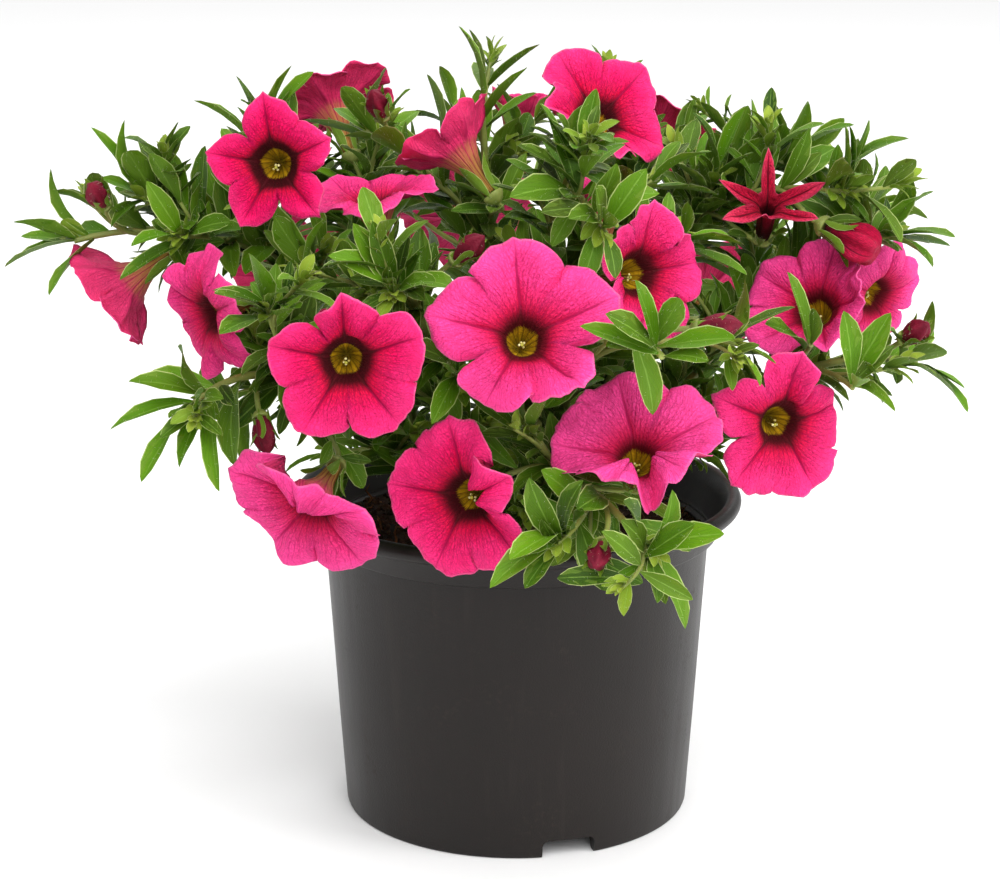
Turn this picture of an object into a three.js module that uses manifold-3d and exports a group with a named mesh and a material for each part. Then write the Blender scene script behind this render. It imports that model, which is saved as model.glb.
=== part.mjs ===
// A calibrachoa in bloom, growing in a round plastic nursery pot.
//
// Twelve branched sprays stand in holes in the potting soil. Each spray is one body: its stem, twigs,
// flower stalks, calyces, buds and leaves. Each flower is a funnel of five joined petals that sits on
// its calyx, with a yellow heart of stamens in its throat.
//
// Millimetres, +Z up, -Y towards the front. The origin is the centre of the pot's base, on the ground.

import * as THREE from "three";
import { mergeVertices } from "three/addons/utils/BufferGeometryUtils.js";
import Module from "manifold-3d";

const wasm = await Module();
wasm.setup();

// ---------------------------------------------------------------- driving dimensions

const pot = {
  rimRadius: 52.5,
  height: 76,
  bodyTopRadius: 45,
  collarRadius: 47.2,
  collarHeight: 66.5, // the step between the tapered body and the collar
  lipWidth: 3.2,
  lipHeight: 3.6,
  baseRadius: 40.6,
  wall: 1.3,
  footHeight: 4.4, // how far the floor is raised above the ground
  footWidth: 3,
  hubRadius: 20, // the middle of the floor comes down to the ground again
  segments: 28,
  notches: 3, // drainage notches through the foot ring
  notchAngle: 17, // degrees from the front, towards +X
  notchWidth: 12.5,
  drainRadius: 4,
  drainInset: 11, // from the foot's outer edge
};

const soil = { top: 66, gap: 0.35, rings: 2, relief: 0.9, segments: 16, holeDepth: 10 };

const stem = {
  rootRadius: 1.6,
  tipRadius: 0.8,
  twigRadius: 0.9,
  twigTipRadius: 0.65,
  stalkRadius: 0.7,
  sinkDepth: 8,
  collar: 2, // how far a stem stands straight up out of the soil
  steps: 5,
  twigSteps: 3,
};

const leaf = {
  thickness: 0.9,
  fold: 0.25, // how far the edges rise, as a share of the half width
  clearance: 0.3,
  widest: 0.42,
  shoulder: 0.75, // the second station of a long blade
  longFrom: 17,
  pitch: 18, // between the single leaves up a stem
  tuft: 9, // the length of stem that the close leaves at its end share
  rootShare: 0.25, // of a blade's length, where it may touch its own stem
  bareShare: { main: 0.1, twig: 0.25 }, // of a stem's length, before its first leaf
};

const flower = {
  tubeLength: 13,
  tubeBaseRadius: 1.5,
  throatRadius: 4.4,
  throatWall: 0.8,
  tubeFloor: 3.4, // the solid length at the bottom of the tube
  petalThickness: 0.8,
  flare: 10, // degrees by which an open flower still cups forward
  innerShare: 0.45, // where a lobe starts to curl, as a share of its length
  sinusRidge: 0.5, // how far the limb rises in a pleat between two lobes
};

// The outline of a flower that hasn't opened: shares of its full radius, and heights, above its tube.
const foldedOutline = { rings: [[0.85, 6.5], [1, 10.5], [0.75, 13.2]], tubeTop: 3.5, length: 14 };

const heart = { sides: 8, pointRadius: 2.6, dipRadius: 2, depth: 8.2 };

const calyx = {
  radius: 2.8,
  innerRadius: 1.75,
  depth: 3,
  seat: 0.35, // the gap to the flower's tube
  sepalLength: 8,
  sepalReach: 6,
};

const bud = { length: 9, radius: 2.1 };

const golden = 137.5; // degrees between one leaf and the next round a stem

// ---------------------------------------------------------------- the plant

// Each spray rises from `root` on the soil, bends at `knee` and ends at `tip`. A twig leaves its parent
// (0 is the main stem, 1 the first twig) at the share `at` of its length. `leaves` are where the tips of
// the outer leaves at a stem's end are, and `buds` end short stalks.
const sprays = [
  {
    name: "spray_left_high",
    root: [-15, 2],
    knee: [-40, -4, 152],
    tip: [-99, -15, 138],
    leaves: [[-111, -24, 144], [-114, -20, 133], [-103, -18, 155], [-104, -22, 127]],
    twigs: [
      {
        ...{ from: 0, at: 0.62, tip: [-83, -20, 149] },
        leaves: [[-93, -24, 165], [-87, -24, 167], [-74, -22, 166], [-82, -32, 161]],
      },
      {
        ...{ from: 0, at: 0.45, tip: [-55, -30, 165] },
        leaves: [[-60, -36, 178], [-53, -36, 180], [-47, -34, 178], [-69, -38, 173]],
      },
      {
        ...{ from: 0, at: 0.55, tip: [-74, -30, 142] },
        leaves: [[-80, -34, 155], [-62, -34, 146], [-86, -38, 134]],
      },
      { from: 0, at: 0.22, tip: [-46, 10, 104], leaves: [] },
    ],
    buds: [{ from: 0, at: 0.86, tip: [-91, -24, 148] }],
  },
  {
    name: "spray_left_low",
    root: [-14, -9],
    knee: [-46, -36, 128],
    tip: [-69, -55, 111],
    leaves: [[-86, -62, 107], [-80, -60, 95], [-82, -60, 117], [-70, -64, 126], [-62, -74, 97]],
    twigs: [
      { from: 0, at: 0.5, tip: [-70, -30, 104], leaves: [] },
      {
        ...{ from: 0, at: 0.42, tip: [-52, -64, 134] },
        leaves: [[-62, -74, 139], [-55, -72, 147], [-61, -76, 131]],
      },
      { from: 0, at: 0.2, tip: [-42, -14, 88], leaves: [] },
    ],
    buds: [{ from: 0, at: 0.7, tip: [-55, -52, 107] }],
  },
  {
    name: "spray_front_left",
    root: [-8, -15],
    knee: [-22, -38, 142],
    tip: [-26, -62, 136],
    leaves: [[-34, -66, 152], [-25, -68, 153], [-39, -70, 146], [-17, -72, 141]],
    twigs: [
      { from: 0, at: 0.5, tip: [-47, -48, 139], leaves: [[-40, -54, 151], [-51, -54, 151], [-62, -50, 158]] },
      { from: 0, at: 0.35, tip: [-12, -60, 117], leaves: [[-4, -70, 115], [-18, -72, 111], [-14, -72, 122]] },
    ],
    buds: [{ from: 0, at: 0.6, tip: [-13, -54, 142] }],
  },
  {
    name: "spray_crown_top",
    root: [-5, 3],
    knee: [-6, -4, 140],
    tip: [-8, -13, 168],
    leaves: [[-13, -16, 186], [-6, -22, 184], [-20, -14, 179], [2, -24, 178]],
    twigs: [
      { from: 0, at: 0.5, tip: [-34, -4, 161], leaves: [[-29, -10, 176], [-39, -12, 172], [-48, -8, 164]] },
      { from: 0, at: 0.62, tip: [6, 4, 164], leaves: [[12, -12, 176], [17, 4, 176]] },
    ],
    buds: [{ from: 1, at: 0.75, tip: [-30, -14, 166] }],
  },
  {
    name: "spray_crown_right",
    root: [5, -4],
    knee: [2, -22, 140],
    tip: [12, -44, 160],
    leaves: [[14, -49, 174], [9, -50, 174], [2, -50, 168], [20, -52, 168]],
    twigs: [
      { from: 0, at: 0.4, tip: [30, -20, 153], leaves: [[42, -26, 160], [44, -24, 150]] },
      { from: 0, at: 0.8, tip: [18, -62, 149], leaves: [[26, -64, 163], [18, -68, 160], [10, -72, 154]] },
      { from: 0, at: 0.35, tip: [36, -32, 142], leaves: [[48, -44, 143], [49, -42, 136]] },
    ],
    buds: [],
  },
  {
    name: "spray_front_mid",
    root: [4, -16],
    knee: [14, -40, 138],
    tip: [29, -79, 127],
    leaves: [[12, -86, 135], [17, -88, 138], [23, -84, 144], [43, -88, 133], [34, -86, 141]],
    twigs: [
      { from: 0, at: 0.5, tip: [46, -54, 124], leaves: [[47, -60, 139], [56, -60, 132], [50, -68, 118]] },
    ],
    buds: [{ from: 0, at: 0.75, tip: [37, -70, 131] }],
  },
  {
    name: "spray_right_high",
    root: [12, 6],
    knee: [34, 2, 152],
    tip: [62, 0, 153],
    leaves: [[57, -4, 168], [65, -6, 168], [76, -2, 162]],
    twigs: [
      { from: 0, at: 0.5, tip: [45, -6, 151], leaves: [[39, -10, 166], [49, -10, 167], [34, -16, 156]] },
      {
        ...{ from: 0, at: 0.55, tip: [72, -26, 151] },
        leaves: [[70, -34, 167], [77, -30, 168], [84, -33, 164], [76, -42, 158]],
      },
      { from: 0, at: 0.6, tip: [52, 20, 156], leaves: [] },
    ],
    buds: [],
  },
  {
    name: "spray_right_mid",
    root: [15, -2],
    knee: [54, -8, 132],
    tip: [82, -20, 140],
    leaves: [[96, -26, 141], [90, -34, 136], [86, -26, 154], [91, -25, 151]],
    twigs: [
      { from: 0, at: 0.6, tip: [82, 8, 142], leaves: [] },
      { from: 0, at: 0.4, tip: [58, 12, 128], leaves: [] },
      { from: 0, at: 0.2, tip: [46, 14, 98], leaves: [] },
    ],
    buds: [],
  },
  {
    name: "spray_right_low",
    root: [13, -11],
    knee: [54, -26, 120],
    tip: [88, -31, 114],
    leaves: [[98, -40, 105], [90, -36, 129], [92, -44, 120], [80, -42, 124]],
    twigs: [
      { from: 0, at: 0.6, tip: [72, -46, 112], leaves: [[69, -50, 130], [75, -50, 129]] },
      { from: 0, at: 0.5, tip: [63, -44, 121], leaves: [[57, -48, 138], [52, -54, 128]] },
      { from: 0, at: 0.5, tip: [68, -6, 106], leaves: [] },
      { from: 0, at: 0.22, tip: [44, -16, 88], leaves: [] },
    ],
    buds: [{ from: 0, at: 0.8, tip: [84, -38, 121] }],
  },
  {
    name: "spray_front_low",
    root: [-1, -22],
    knee: [6, -50, 108],
    tip: [27, -78, 85],
    leaves: [[31, -86, 101], [42, -84, 91], [35, -74, 67], [21, -88, 99]],
    twigs: [
      {
        ...{ from: 0, at: 0.62, tip: [8, -79, 87] },
        leaves: [[2, -84, 103], [13, -86, 103], [-6, -86, 80], [-2, -92, 88]],
      },
      { from: 0, at: 0.4, tip: [2, -62, 108], leaves: [[6, -74, 118]] },
    ],
    buds: [{ from: 0, at: 0.72, tip: [17, -82, 88] }],
  },
  {
    name: "spray_back_left",
    root: [-12, 12],
    knee: [-34, 32, 144],
    tip: [-60, 44, 140],
    leaves: [],
    twigs: [
      { from: 0, at: 0.5, tip: [-32, 60, 142], leaves: [] },
      { from: 0, at: 0.6, tip: [-76, 20, 128], leaves: [] },
      { from: 0, at: 0.4, tip: [-42, 62, 106], leaves: [] },
      { from: 0, at: 0.45, tip: [-30, 22, 160], leaves: [] },
      { from: 1, at: 0.4, tip: [-10, 48, 152], leaves: [] },
      { from: 0, at: 0.2, tip: [-42, 34, 90], leaves: [] },
    ],
    buds: [{ from: 0, at: 0.8, tip: [-62, 52, 128] }],
  },
  {
    name: "spray_back_right",
    root: [6, 14],
    knee: [24, 38, 144],
    tip: [54, 52, 136],
    leaves: [],
    twigs: [
      { from: 0, at: 0.45, tip: [10, 64, 138], leaves: [] },
      { from: 0, at: 0.55, tip: [28, 70, 110], leaves: [] },
      { from: 0, at: 0.6, tip: [70, 32, 122], leaves: [] },
      { from: 0, at: 0.42, tip: [16, 30, 160], leaves: [] },
      { from: 4, at: 0.4, tip: [40, 26, 156], leaves: [] },
      { from: 0, at: 0.2, tip: [30, 44, 92], leaves: [] },
      { from: 0, at: 0.25, tip: [-6, 50, 96], leaves: [] },
    ],
    buds: [{ from: 0, at: 0.8, tip: [58, 60, 124] }],
  },
];

// Each flower: the spray, twig and share of its length where the stalk leaves, the middle of its throat,
// the way it faces, its width, and how far each of its five lobes curls forward, in degrees. `turn` turns
// the five lobes about the flower's own axis. A fold [at, reach, inner, outer] adds to the curl of the
// limb's inner and outer part in the direction `at`, and fades to nothing at `reach` degrees beside it.
// `shape` names the outline of the lobes, and `mouth` is the radius of a young flower's narrower throat.
const flowers = [
  ["spray_left_high", 2, 0.7, [-51, -55, 162], [-0.1, -0.98, 0.08], 26, [0, -4, -6, -12, 10], -16, { shape: "pointed" }],
  ["spray_left_low", 2, 0.4, [-35, -80, 126], [0.05, -0.99, 0.02], 32, [8, 22, 10, -8, -6], -12, { folds: [[78, 30, 25, 10]] }],
  ["spray_front_mid", 0, 0.6, [1, -78, 131], [0.1, -0.86, 0.5], 40, [-2, 4, -10, -14, 36], -8, { folds: [[240, 40, 22, -30]] }],
  ["spray_front_low", 2, 0.4, [-11, -72, 95], [-0.32, -0.94, 0.06], 32, [-4, -8, -6, -10, 6], 20, { folds: [[4, 58, 70, 4]] }],
  ["spray_front_low", 0, 0.4, [25, -64, 102], [0.02, -0.74, 0.67], 38, [-6, -8, -10, 52, 44], -6, { folds: [[282, 24, -20, -100]] }],
  ["spray_right_low", 0, 0.4, [57, -47, 104], [0.34, -0.94, 0], 32, [-16, 10, -4, -8, -8], 0, { folds: [[80, 34, 30, 0]] }],
  ["spray_crown_right", 1, 0.5, [18, -15, 166], [0.3, -0.72, 0.62], 32, [0, -4, 46, 52, -6], 24],
  ["spray_front_mid", 0, 0.3, [26, -50, 138], [0.6, -0.75, 0.2], 30, [-4, 6, 20, 30, 6], 4, { folds: [[76, 20, 15, 40]] }],
  ["spray_left_low", 0, 0.6, [-44, -62, 91], [-0.35, -0.86, -0.36], 35, [24, -4, -12, -10, 6], 26, { folds: [[22, 62, 60, -14]] }],
  ["spray_left_low", 0, 0.5, [-67, -46, 128], [-0.85, -0.48, -0.2], 31, [-48, 0, -12, -24, 30], -4],
  ["spray_left_high", 0, 0.8, [-88, -15, 128], [-0.82, 0, -0.57], 30, [34, 24, 38, 22, 30], -8],
  ["spray_front_left", 1, 0.5, [-31, -38, 152], [-0.16, 0.02, 0.98], 28, [6, 20, -8, -16, 2], 24],
  ["spray_crown_top", 0, 0.6, [-14, -20, 160], [-0.62, 0.25, 0.74], 28, [38, 32, 40, 34, 42], -18],
  ["spray_crown_top", 0, 0.7, [0, 14, 163], [0.1, 0.1, 0.99], 16, [60, 56, 62, 58, 64], -20, { mouth: 3 }],
  ["spray_right_mid", 0, 0.6, [65, -29, 126], [-0.3, -0.74, 0.6], 31, [-4, -6, 10, 50, 44], 24],
  ["spray_right_mid", 0, 0.85, [82, -12, 124], [0.66, -0.7, -0.25], 28, [-25, -20, -28, -18, -22], 18],
  ["spray_crown_right", 0, 0.4, [19, -34, 150], [0.1, -0.1, 0.99], 17, [58, 62, 56, 60, 64], -28, { mouth: 3 }],
  ["spray_back_left", 4, 0.5, [-44, 38, 160], [-0.35, 0.55, 0.76], 32, [-6, 8, -10, 4, -4], 10],
  ["spray_back_left", 3, 0.5, [-56, 62, 114], [-0.45, 0.88, 0.1], 31, [-8, 6, 4, -12, 8], 30],
  ["spray_back_left", 1, 0.6, [-12, 72, 128], [-0.1, 0.9, 0.4], 36, [-8, -4, 8, -10, 6], 0],
  ["spray_back_right", 0, 0.6, [34, 60, 148], [0.3, 0.72, 0.62], 33, [4, -10, 6, -6, 8], 22],
  ["spray_back_right", 2, 0.4, [48, 74, 106], [0.3, 0.93, 0.15], 32, [-6, 8, -12, 6, 10], 44],
].map(([spray, twig, at, throat, face, across, lobes, turn, more], i) => ({
  name: `flower_${String(i + 1).padStart(2, "0")}`,
  ...{ spray, twig, at, throat, face, across, lobes, turn, ...more },
}));

// A flower that is still folded into a five-pointed star, and one that hasn't opened.
const starFlower = {
  name: "flower_star",
  ...{ spray: "spray_right_high", twig: 1, at: 0.5, throat: [55, -24, 148] },
  ...{ face: [0.02, -0.72, 0.69], across: 22, lobes: [20, 20, 20, 20, 20], turn: -18, shape: "star", mouth: 2 },
};
const foldedFlower = {
  name: "flower_folded",
  ...{ spray: "spray_right_high", twig: 2, at: 0.6, throat: [78, -33, 139] },
  ...{ face: [0.8, -0.5, -0.33], across: 8, lobes: [], turn: 0 },
};

// ---------------------------------------------------------------- vectors, curves and random draws

const up = new THREE.Vector3(0, 0, 1);
const vec = (p) => new THREE.Vector3(...p);
const radians = THREE.MathUtils.degToRad;

// The minimal standard generator: the same seed always gives the same plant.
function dice(seed) {
  let state = seed;
  return (low, high) => {
    state = (state * 16807) % 2147483647;
    return low + ((high - low) * state) / 2147483647;
  };
}

// A curve made of a few straight steps, as its tube is, so that what grows from it starts inside it.
class Stepped extends THREE.Curve {
  constructor(curve, steps) {
    super();
    this.middles = curve.getPoints(steps);
  }
  getPoint(t) {
    const place = t * (this.middles.length - 1);
    const step = Math.min(Math.floor(place), this.middles.length - 2);
    return this.middles[step].clone().lerp(this.middles[step + 1], place - step);
  }
}

// Two directions across a stem: `side` is level and `lift` points upwards.
function across(tangent) {
  const side = tangent.clone().cross(up);
  if (side.length() < 0.05) side.set(1, 0, 0);
  side.normalize();
  return { side, lift: side.clone().cross(tangent).normalize() };
}

// ---------------------------------------------------------------- solids

// A closed solid from points and triangles, turned to face outwards.
function solidFrom(points, triangles) {
  const place = new Float32Array(points.flatMap((p) => [p.x, p.y, p.z]));
  let sixVolumes = 0;
  for (const [a, b, c] of triangles) sixVolumes += points[a].dot(points[b].clone().cross(points[c]));
  const faces = sixVolumes < 0 ? triangles.map(([a, b, c]) => [a, c, b]) : triangles;
  return new wasm.Manifold(
    new wasm.Mesh({ numProp: 3, vertProperties: place, triVerts: new Uint32Array(faces.flat()) }),
  );
}

// A three.js geometry as a solid that manifold-3d can join and cut.
function solidOf(geometry) {
  const bare = geometry.clone();
  bare.deleteAttribute("normal");
  bare.deleteAttribute("uv");
  const merged = mergeVertices(bare, 1e-3);
  return new wasm.Manifold(
    new wasm.Mesh({
      numProp: 3,
      vertProperties: new Float32Array(merged.attributes.position.array),
      triVerts: new Uint32Array(merged.index.array),
    }),
  );
}

function geometryOf(solid) {
  const mesh = solid.getMesh();
  const geometry = new THREE.BufferGeometry();
  geometry.setAttribute("position", new THREE.BufferAttribute(new Float32Array(mesh.vertProperties), 3));
  geometry.setIndex(new THREE.BufferAttribute(new Uint32Array(mesh.triVerts), 1));
  geometry.computeVertexNormals();
  return geometry;
}

function lathed(profile, segments) {
  const points = profile.map(([r, z]) => new THREE.Vector2(r, z));
  return solidOf(new THREE.LatheGeometry(points, segments).rotateX(Math.PI / 2));
}

// A tapered stem through the middles given, closed at both ends.
function tube(middles, startRadius, endRadius, sides) {
  const points = [];
  const triangles = [];
  const steps = middles.length - 1;
  const side = new THREE.Vector3(1, 0, 0);
  for (let i = 0; i <= steps; i++) {
    const along = middles[Math.min(i + 1, steps)].clone().sub(middles[Math.max(i - 1, 0)]).normalize();
    side.addScaledVector(along, -side.dot(along)).normalize();
    const lift = along.clone().cross(side);
    const radius = startRadius + ((endRadius - startRadius) * i) / steps;
    for (let k = 0; k < sides; k++) {
      const angle = (2 * Math.PI * k) / sides;
      points.push(
        middles[i]
          .clone()
          .addScaledVector(side, radius * Math.cos(angle))
          .addScaledVector(lift, radius * Math.sin(angle)),
      );
      const next = (k + 1) % sides;
      const here = i * sides;
      if (i < steps) {
        triangles.push([here + k, here + next, here + sides + next]);
        triangles.push([here + k, here + sides + next, here + sides + k]);
      }
    }
  }
  const last = steps * sides;
  for (let k = 1; k < sides - 1; k++) {
    triangles.push([0, k + 1, k]);
    triangles.push([last, last + k, last + k + 1]);
  }
  return solidFrom(points, triangles);
}

// ---------------------------------------------------------------- pot and soil

// The pot's inner outline, from below the collar down to the middle of the floor.
const potInside = [
  [pot.bodyTopRadius - pot.wall, pot.collarHeight - 0.6],
  [pot.baseRadius - pot.wall + 0.5, pot.footHeight + pot.wall],
  [pot.hubRadius + 0.6, pot.footHeight + pot.wall],
  [pot.hubRadius - 0.6, pot.wall],
];

function makePot() {
  const { rimRadius: rim, height, lipWidth, lipHeight, footHeight: foot, hubRadius: hub } = pot;
  const base = pot.baseRadius;
  const ring = base - pot.footWidth;
  const outside = [
    [0, 0],
    [hub, 0],
    [hub + 1.2, foot],
    [ring - 1.3, foot],
    [ring + 0.3, 0],
    [base - 0.8, 0],
    [base, 1.2],
    [pot.bodyTopRadius, pot.collarHeight],
    [pot.collarRadius, pot.collarHeight + 0.3],
    [rim - lipWidth, height - lipHeight - 0.2],
    [rim - 0.8, height - lipHeight],
    [rim, height - lipHeight / 2],
    [rim - 1.2, height],
    [rim - lipWidth, height - 0.3],
  ];
  let solid = lathed([...outside, ...potInside, [0, pot.wall]], pot.segments);
  for (let i = 0; i < pot.notches; i++) {
    const angle = radians(pot.notchAngle + (360 / pot.notches) * i - 90);
    const notch = new THREE.BoxGeometry(4 * pot.footWidth, pot.notchWidth, foot + 1)
      .translate(base, 0, foot / 2 - 0.7)
      .rotateZ(angle);
    const drain = new THREE.CylinderGeometry(pot.drainRadius, pot.drainRadius, foot + pot.wall, 8)
      .rotateX(Math.PI / 2)
      .translate(base - pot.drainInset, 0, foot + pot.wall / 2)
      .rotateZ(angle);
    solid = solid.subtract(solidOf(notch)).subtract(solidOf(drain));
  }
  return solid;
}

// The root ball fills the pot and has a crumbly top, with a plain hole for each spray.
function makeSoil() {
  const { gap, top, rings, segments, relief } = soil;
  const [high, low, ledge, hub] = potInside;
  const flat = Math.cos(Math.PI / pot.segments); // the pot's flats are this much nearer than its corners
  const inPot = (radius) => radius * flat - gap;
  const rim = inPot(low[0] + ((high[0] - low[0]) * (top - low[1])) / (high[1] - low[1]));
  const profile = [
    [inPot(hub[0]), hub[1] + gap],
    [inPot(ledge[0]), ledge[1] + gap],
    [inPot(low[0]), low[1] + gap],
  ];
  const smooth = profile.length;
  for (let i = 0; i < rings; i++) profile.push([rim * (1 - i / rings), top]);
  const draw = dice(7);
  const points = [];
  const triangles = [];
  profile.forEach(([radius, z], ring) => {
    for (let k = 0; k < segments; k++) {
      const angle = (2 * Math.PI * (k + (ring % 2) / 2)) / segments;
      const rough = ring > smooth ? draw(-relief, relief) : 0;
      points.push(new THREE.Vector3(radius * Math.cos(angle), radius * Math.sin(angle), z + rough));
    }
  });
  const bottom = points.push(new THREE.Vector3(0, 0, hub[1] + gap)) - 1;
  const peak = points.push(new THREE.Vector3(0, 0, top + relief)) - 1;
  const last = (profile.length - 1) * segments;
  for (let k = 0; k < segments; k++) {
    const next = (k + 1) % segments;
    triangles.push([bottom, next, k], [peak, last + k, last + next]);
    for (let ring = 0; ring < profile.length - 1; ring++) {
      const a = ring * segments;
      const b = a + segments;
      if (ring % 2) {
        triangles.push([a + k, a + next, b + next], [a + k, b + next, b + k]);
      } else {
        triangles.push([a + k, a + next, b + k], [a + next, b + next, b + k]);
      }
    }
  }
  let solid = solidFrom(points, triangles);
  const holeRadius = stem.rootRadius + gap;
  for (const { root } of sprays) {
    const hole = new THREE.CylinderGeometry(holeRadius, holeRadius, 2 * soil.holeDepth, 6)
      .rotateX(Math.PI / 2)
      .translate(root[0], root[1], top);
    solid = solid.subtract(solidOf(hole));
  }
  return solid;
}

// ---------------------------------------------------------------- flowers

// A flower faces along +Z from the bottom of its tube, in its own frame. Each lobe takes four of the twenty
// directions round it: the sinus before it, a shoulder, its tip and the other shoulder.
const directions = 20;
const lobeReach = {
  open: [0.8, 0.98, 1.03, 0.98],
  pointed: [0.74, 0.9, 1.1, 0.9],
  star: [0.3, 0.5, 1.05, 0.5],
};

// How far forward the limb curls in one direction, near the throat and farther out. Two lobes meet
// half-way at the sinus between them.
function curlAt({ lobes, turn, folds = [] }, k) {
  const lobe = Math.floor(k / 4);
  const own = k % 4 ? lobes[lobe] : (lobes[lobe] + lobes[(lobe + 4) % 5]) / 2;
  const curl = { inner: flower.flare + own / 3, outer: flower.flare + own };
  for (const [at, reach, inner, outer] of folds) {
    const apart = Math.abs(((((360 * k) / directions + turn - at) % 360) + 540) % 360 - 180);
    const share = apart < reach ? Math.cos((Math.PI / 2) * (apart / reach)) ** 2 : 0;
    curl.inner += inner * share;
    curl.outer += outer * share;
  }
  return curl;
}

function makeCorolla(bloom) {
  const { across: width, turn, shape = "open", mouth: throatRadius = flower.throatRadius } = bloom;
  const { tubeLength, petalThickness, innerShare } = flower;
  const points = [];
  const put = (r, z, angle) =>
    points.push(new THREE.Vector3(r * Math.cos(angle), r * Math.sin(angle), z)) - 1;
  const base = [];
  const throatOut = [];
  const throatIn = [];
  const middleOut = [];
  const middleIn = [];
  const rim = [];
  for (let k = 0; k < directions; k++) {
    const angle = (2 * Math.PI * k) / directions + radians(turn);
    const length = (width / 2) * lobeReach[shape][k % 4] - throatRadius;
    const curl = curlAt(bloom, k);
    const inner = radians(curl.inner);
    const outer = radians(curl.outer);
    const r1 = throatRadius + innerShare * length * Math.cos(inner);
    const z1 = tubeLength + innerShare * length * Math.sin(inner) + (k % 4 ? 0 : flower.sinusRidge);
    if (k % 4 === 0) base.push(put(flower.tubeBaseRadius, 0, angle));
    if (k % 2 === 0) {
      throatOut.push(put(throatRadius, tubeLength - petalThickness, angle));
      throatIn.push(put(throatRadius - flower.throatWall, tubeLength, angle));
      const back = [petalThickness * Math.sin(inner), -petalThickness * Math.cos(inner)];
      middleOut.push(put(r1 + back[0], z1 + back[1], angle));
      middleIn.push(put(r1, z1, angle));
    }
    const rest = (1 - innerShare) * length;
    rim.push(put(r1 + rest * Math.cos(outer), z1 + rest * Math.sin(outer), angle));
  }
  const floor = put(0, flower.tubeFloor, 0);
  const triangles = [
    [base[0], base[2], base[1]],
    [base[0], base[3], base[2]],
    [base[0], base[4], base[3]],
  ];
  for (let j = 0; j < throatIn.length; j++) {
    const next = (j + 1) % throatIn.length;
    const foot = base[Math.ceil(j / 2) % base.length];
    const nextFoot = base[(j / 2 + 1) % base.length];
    triangles.push([floor, throatIn[j], throatIn[next]], [foot, throatOut[next], throatOut[j]]);
    if (j % 2 === 0) triangles.push([foot, nextFoot, throatOut[next]]);
    const edge = [rim[2 * j], rim[2 * j + 1], rim[(2 * j + 2) % directions]];
    const face = (throat, middle) => [
      [throat[j], middle[j], middle[next]],
      [throat[j], middle[next], throat[next]],
      [middle[j], edge[0], edge[1]],
      [middle[j], edge[1], middle[next]],
      [middle[next], edge[1], edge[2]],
    ];
    triangles.push(...face(throatIn, middleIn));
    triangles.push(...face(throatOut, middleOut).map(([a, b, c]) => [a, c, b]));
  }
  return solidFrom(points, triangles);
}

// The stamens round the stigma fill the throat as a short cone with a scalloped edge.
function makeHeart({ mouth = flower.throatRadius }) {
  const slimness = mouth / flower.throatRadius;
  const top = flower.tubeLength - 1;
  const points = [new THREE.Vector3(0, 0, flower.tubeLength - heart.depth)];
  const triangles = [];
  for (let k = 0; k < heart.sides; k++) {
    const angle = (2 * Math.PI * k) / heart.sides;
    const radius = slimness * (k % 2 ? heart.dipRadius : heart.pointRadius);
    points.push(new THREE.Vector3(radius * Math.cos(angle), radius * Math.sin(angle), top - (k % 2)));
  }
  const stigma = points.push(new THREE.Vector3(0, 0, top)) - 1;
  for (let k = 0; k < heart.sides; k++) {
    const next = ((k + 1) % heart.sides) + 1;
    triangles.push([0, next, k + 1], [stigma, k + 1, next]);
  }
  return solidFrom(points, triangles);
}

// A round body that tapers to a point at both ends: rings of [radius, height] between two points.
function spindle(bottom, rings, top, sides) {
  const points = [new THREE.Vector3(0, 0, bottom)];
  const triangles = [];
  rings.forEach(([radius, z], ring) => {
    for (let k = 0; k < sides; k++) {
      const angle = (2 * Math.PI * (k + ring / 2)) / sides;
      points.push(new THREE.Vector3(radius * Math.cos(angle), radius * Math.sin(angle), z));
    }
  });
  const peak = points.push(new THREE.Vector3(0, 0, top)) - 1;
  const last = 1 + (rings.length - 1) * sides;
  for (let k = 0; k < sides; k++) {
    const next = (k + 1) % sides;
    triangles.push([0, 1 + next, 1 + k], [peak, last + k, last + next]);
    for (let ring = 0; ring < rings.length - 1; ring++) {
      const a = 1 + ring * sides;
      const b = a + sides;
      triangles.push([a + k, a + next, b + k], [a + next, b + next, b + k]);
    }
  }
  return solidFrom(points, triangles);
}

// A flower that hasn't opened: its folded limb is a short barrel on a slim tube.
function makeFoldedFlower({ across: width }) {
  const { rings, tubeTop, length } = foldedOutline;
  const limb = rings.map(([share, z]) => [(share * width) / 2, z]);
  const tubeEnds = [
    [flower.tubeBaseRadius, 0.1],
    [flower.tubeBaseRadius + 0.4, tubeTop],
  ];
  return spindle(0, [...tubeEnds, ...limb], length, 6);
}

// The cup under a flower, with five narrow sepals that rise from its rim. Its top is just below the tube.
function makeCalyx() {
  const sides = 5;
  const at = (r, z, share) => {
    const angle = (2 * Math.PI * share) / sides;
    return new THREE.Vector3(r * Math.cos(angle), r * Math.sin(angle), z);
  };
  const points = [at(0, -calyx.depth, 0), at(0, -calyx.seat, 0)];
  for (let k = 0; k < sides; k++) {
    points.push(at(calyx.radius, -calyx.seat - 0.5, k));
    points.push(at(calyx.innerRadius, -calyx.seat, k + 0.5));
    points.push(at(calyx.sepalReach, calyx.sepalLength, k + 0.5));
  }
  const triangles = [];
  for (let k = 0; k < sides; k++) {
    const [rim, inner, tip] = [2 + 3 * k, 3 + 3 * k, 4 + 3 * k];
    const nextRim = 2 + 3 * ((k + 1) % sides);
    const nextInner = nextRim + 1;
    triangles.push([0, nextRim, rim], [rim, nextRim, tip], [nextRim, inner, tip], [inner, rim, tip]);
    triangles.push([1, inner, nextRim], [1, nextRim, nextInner]);
  }
  return solidFrom(points, triangles);
}

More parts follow.
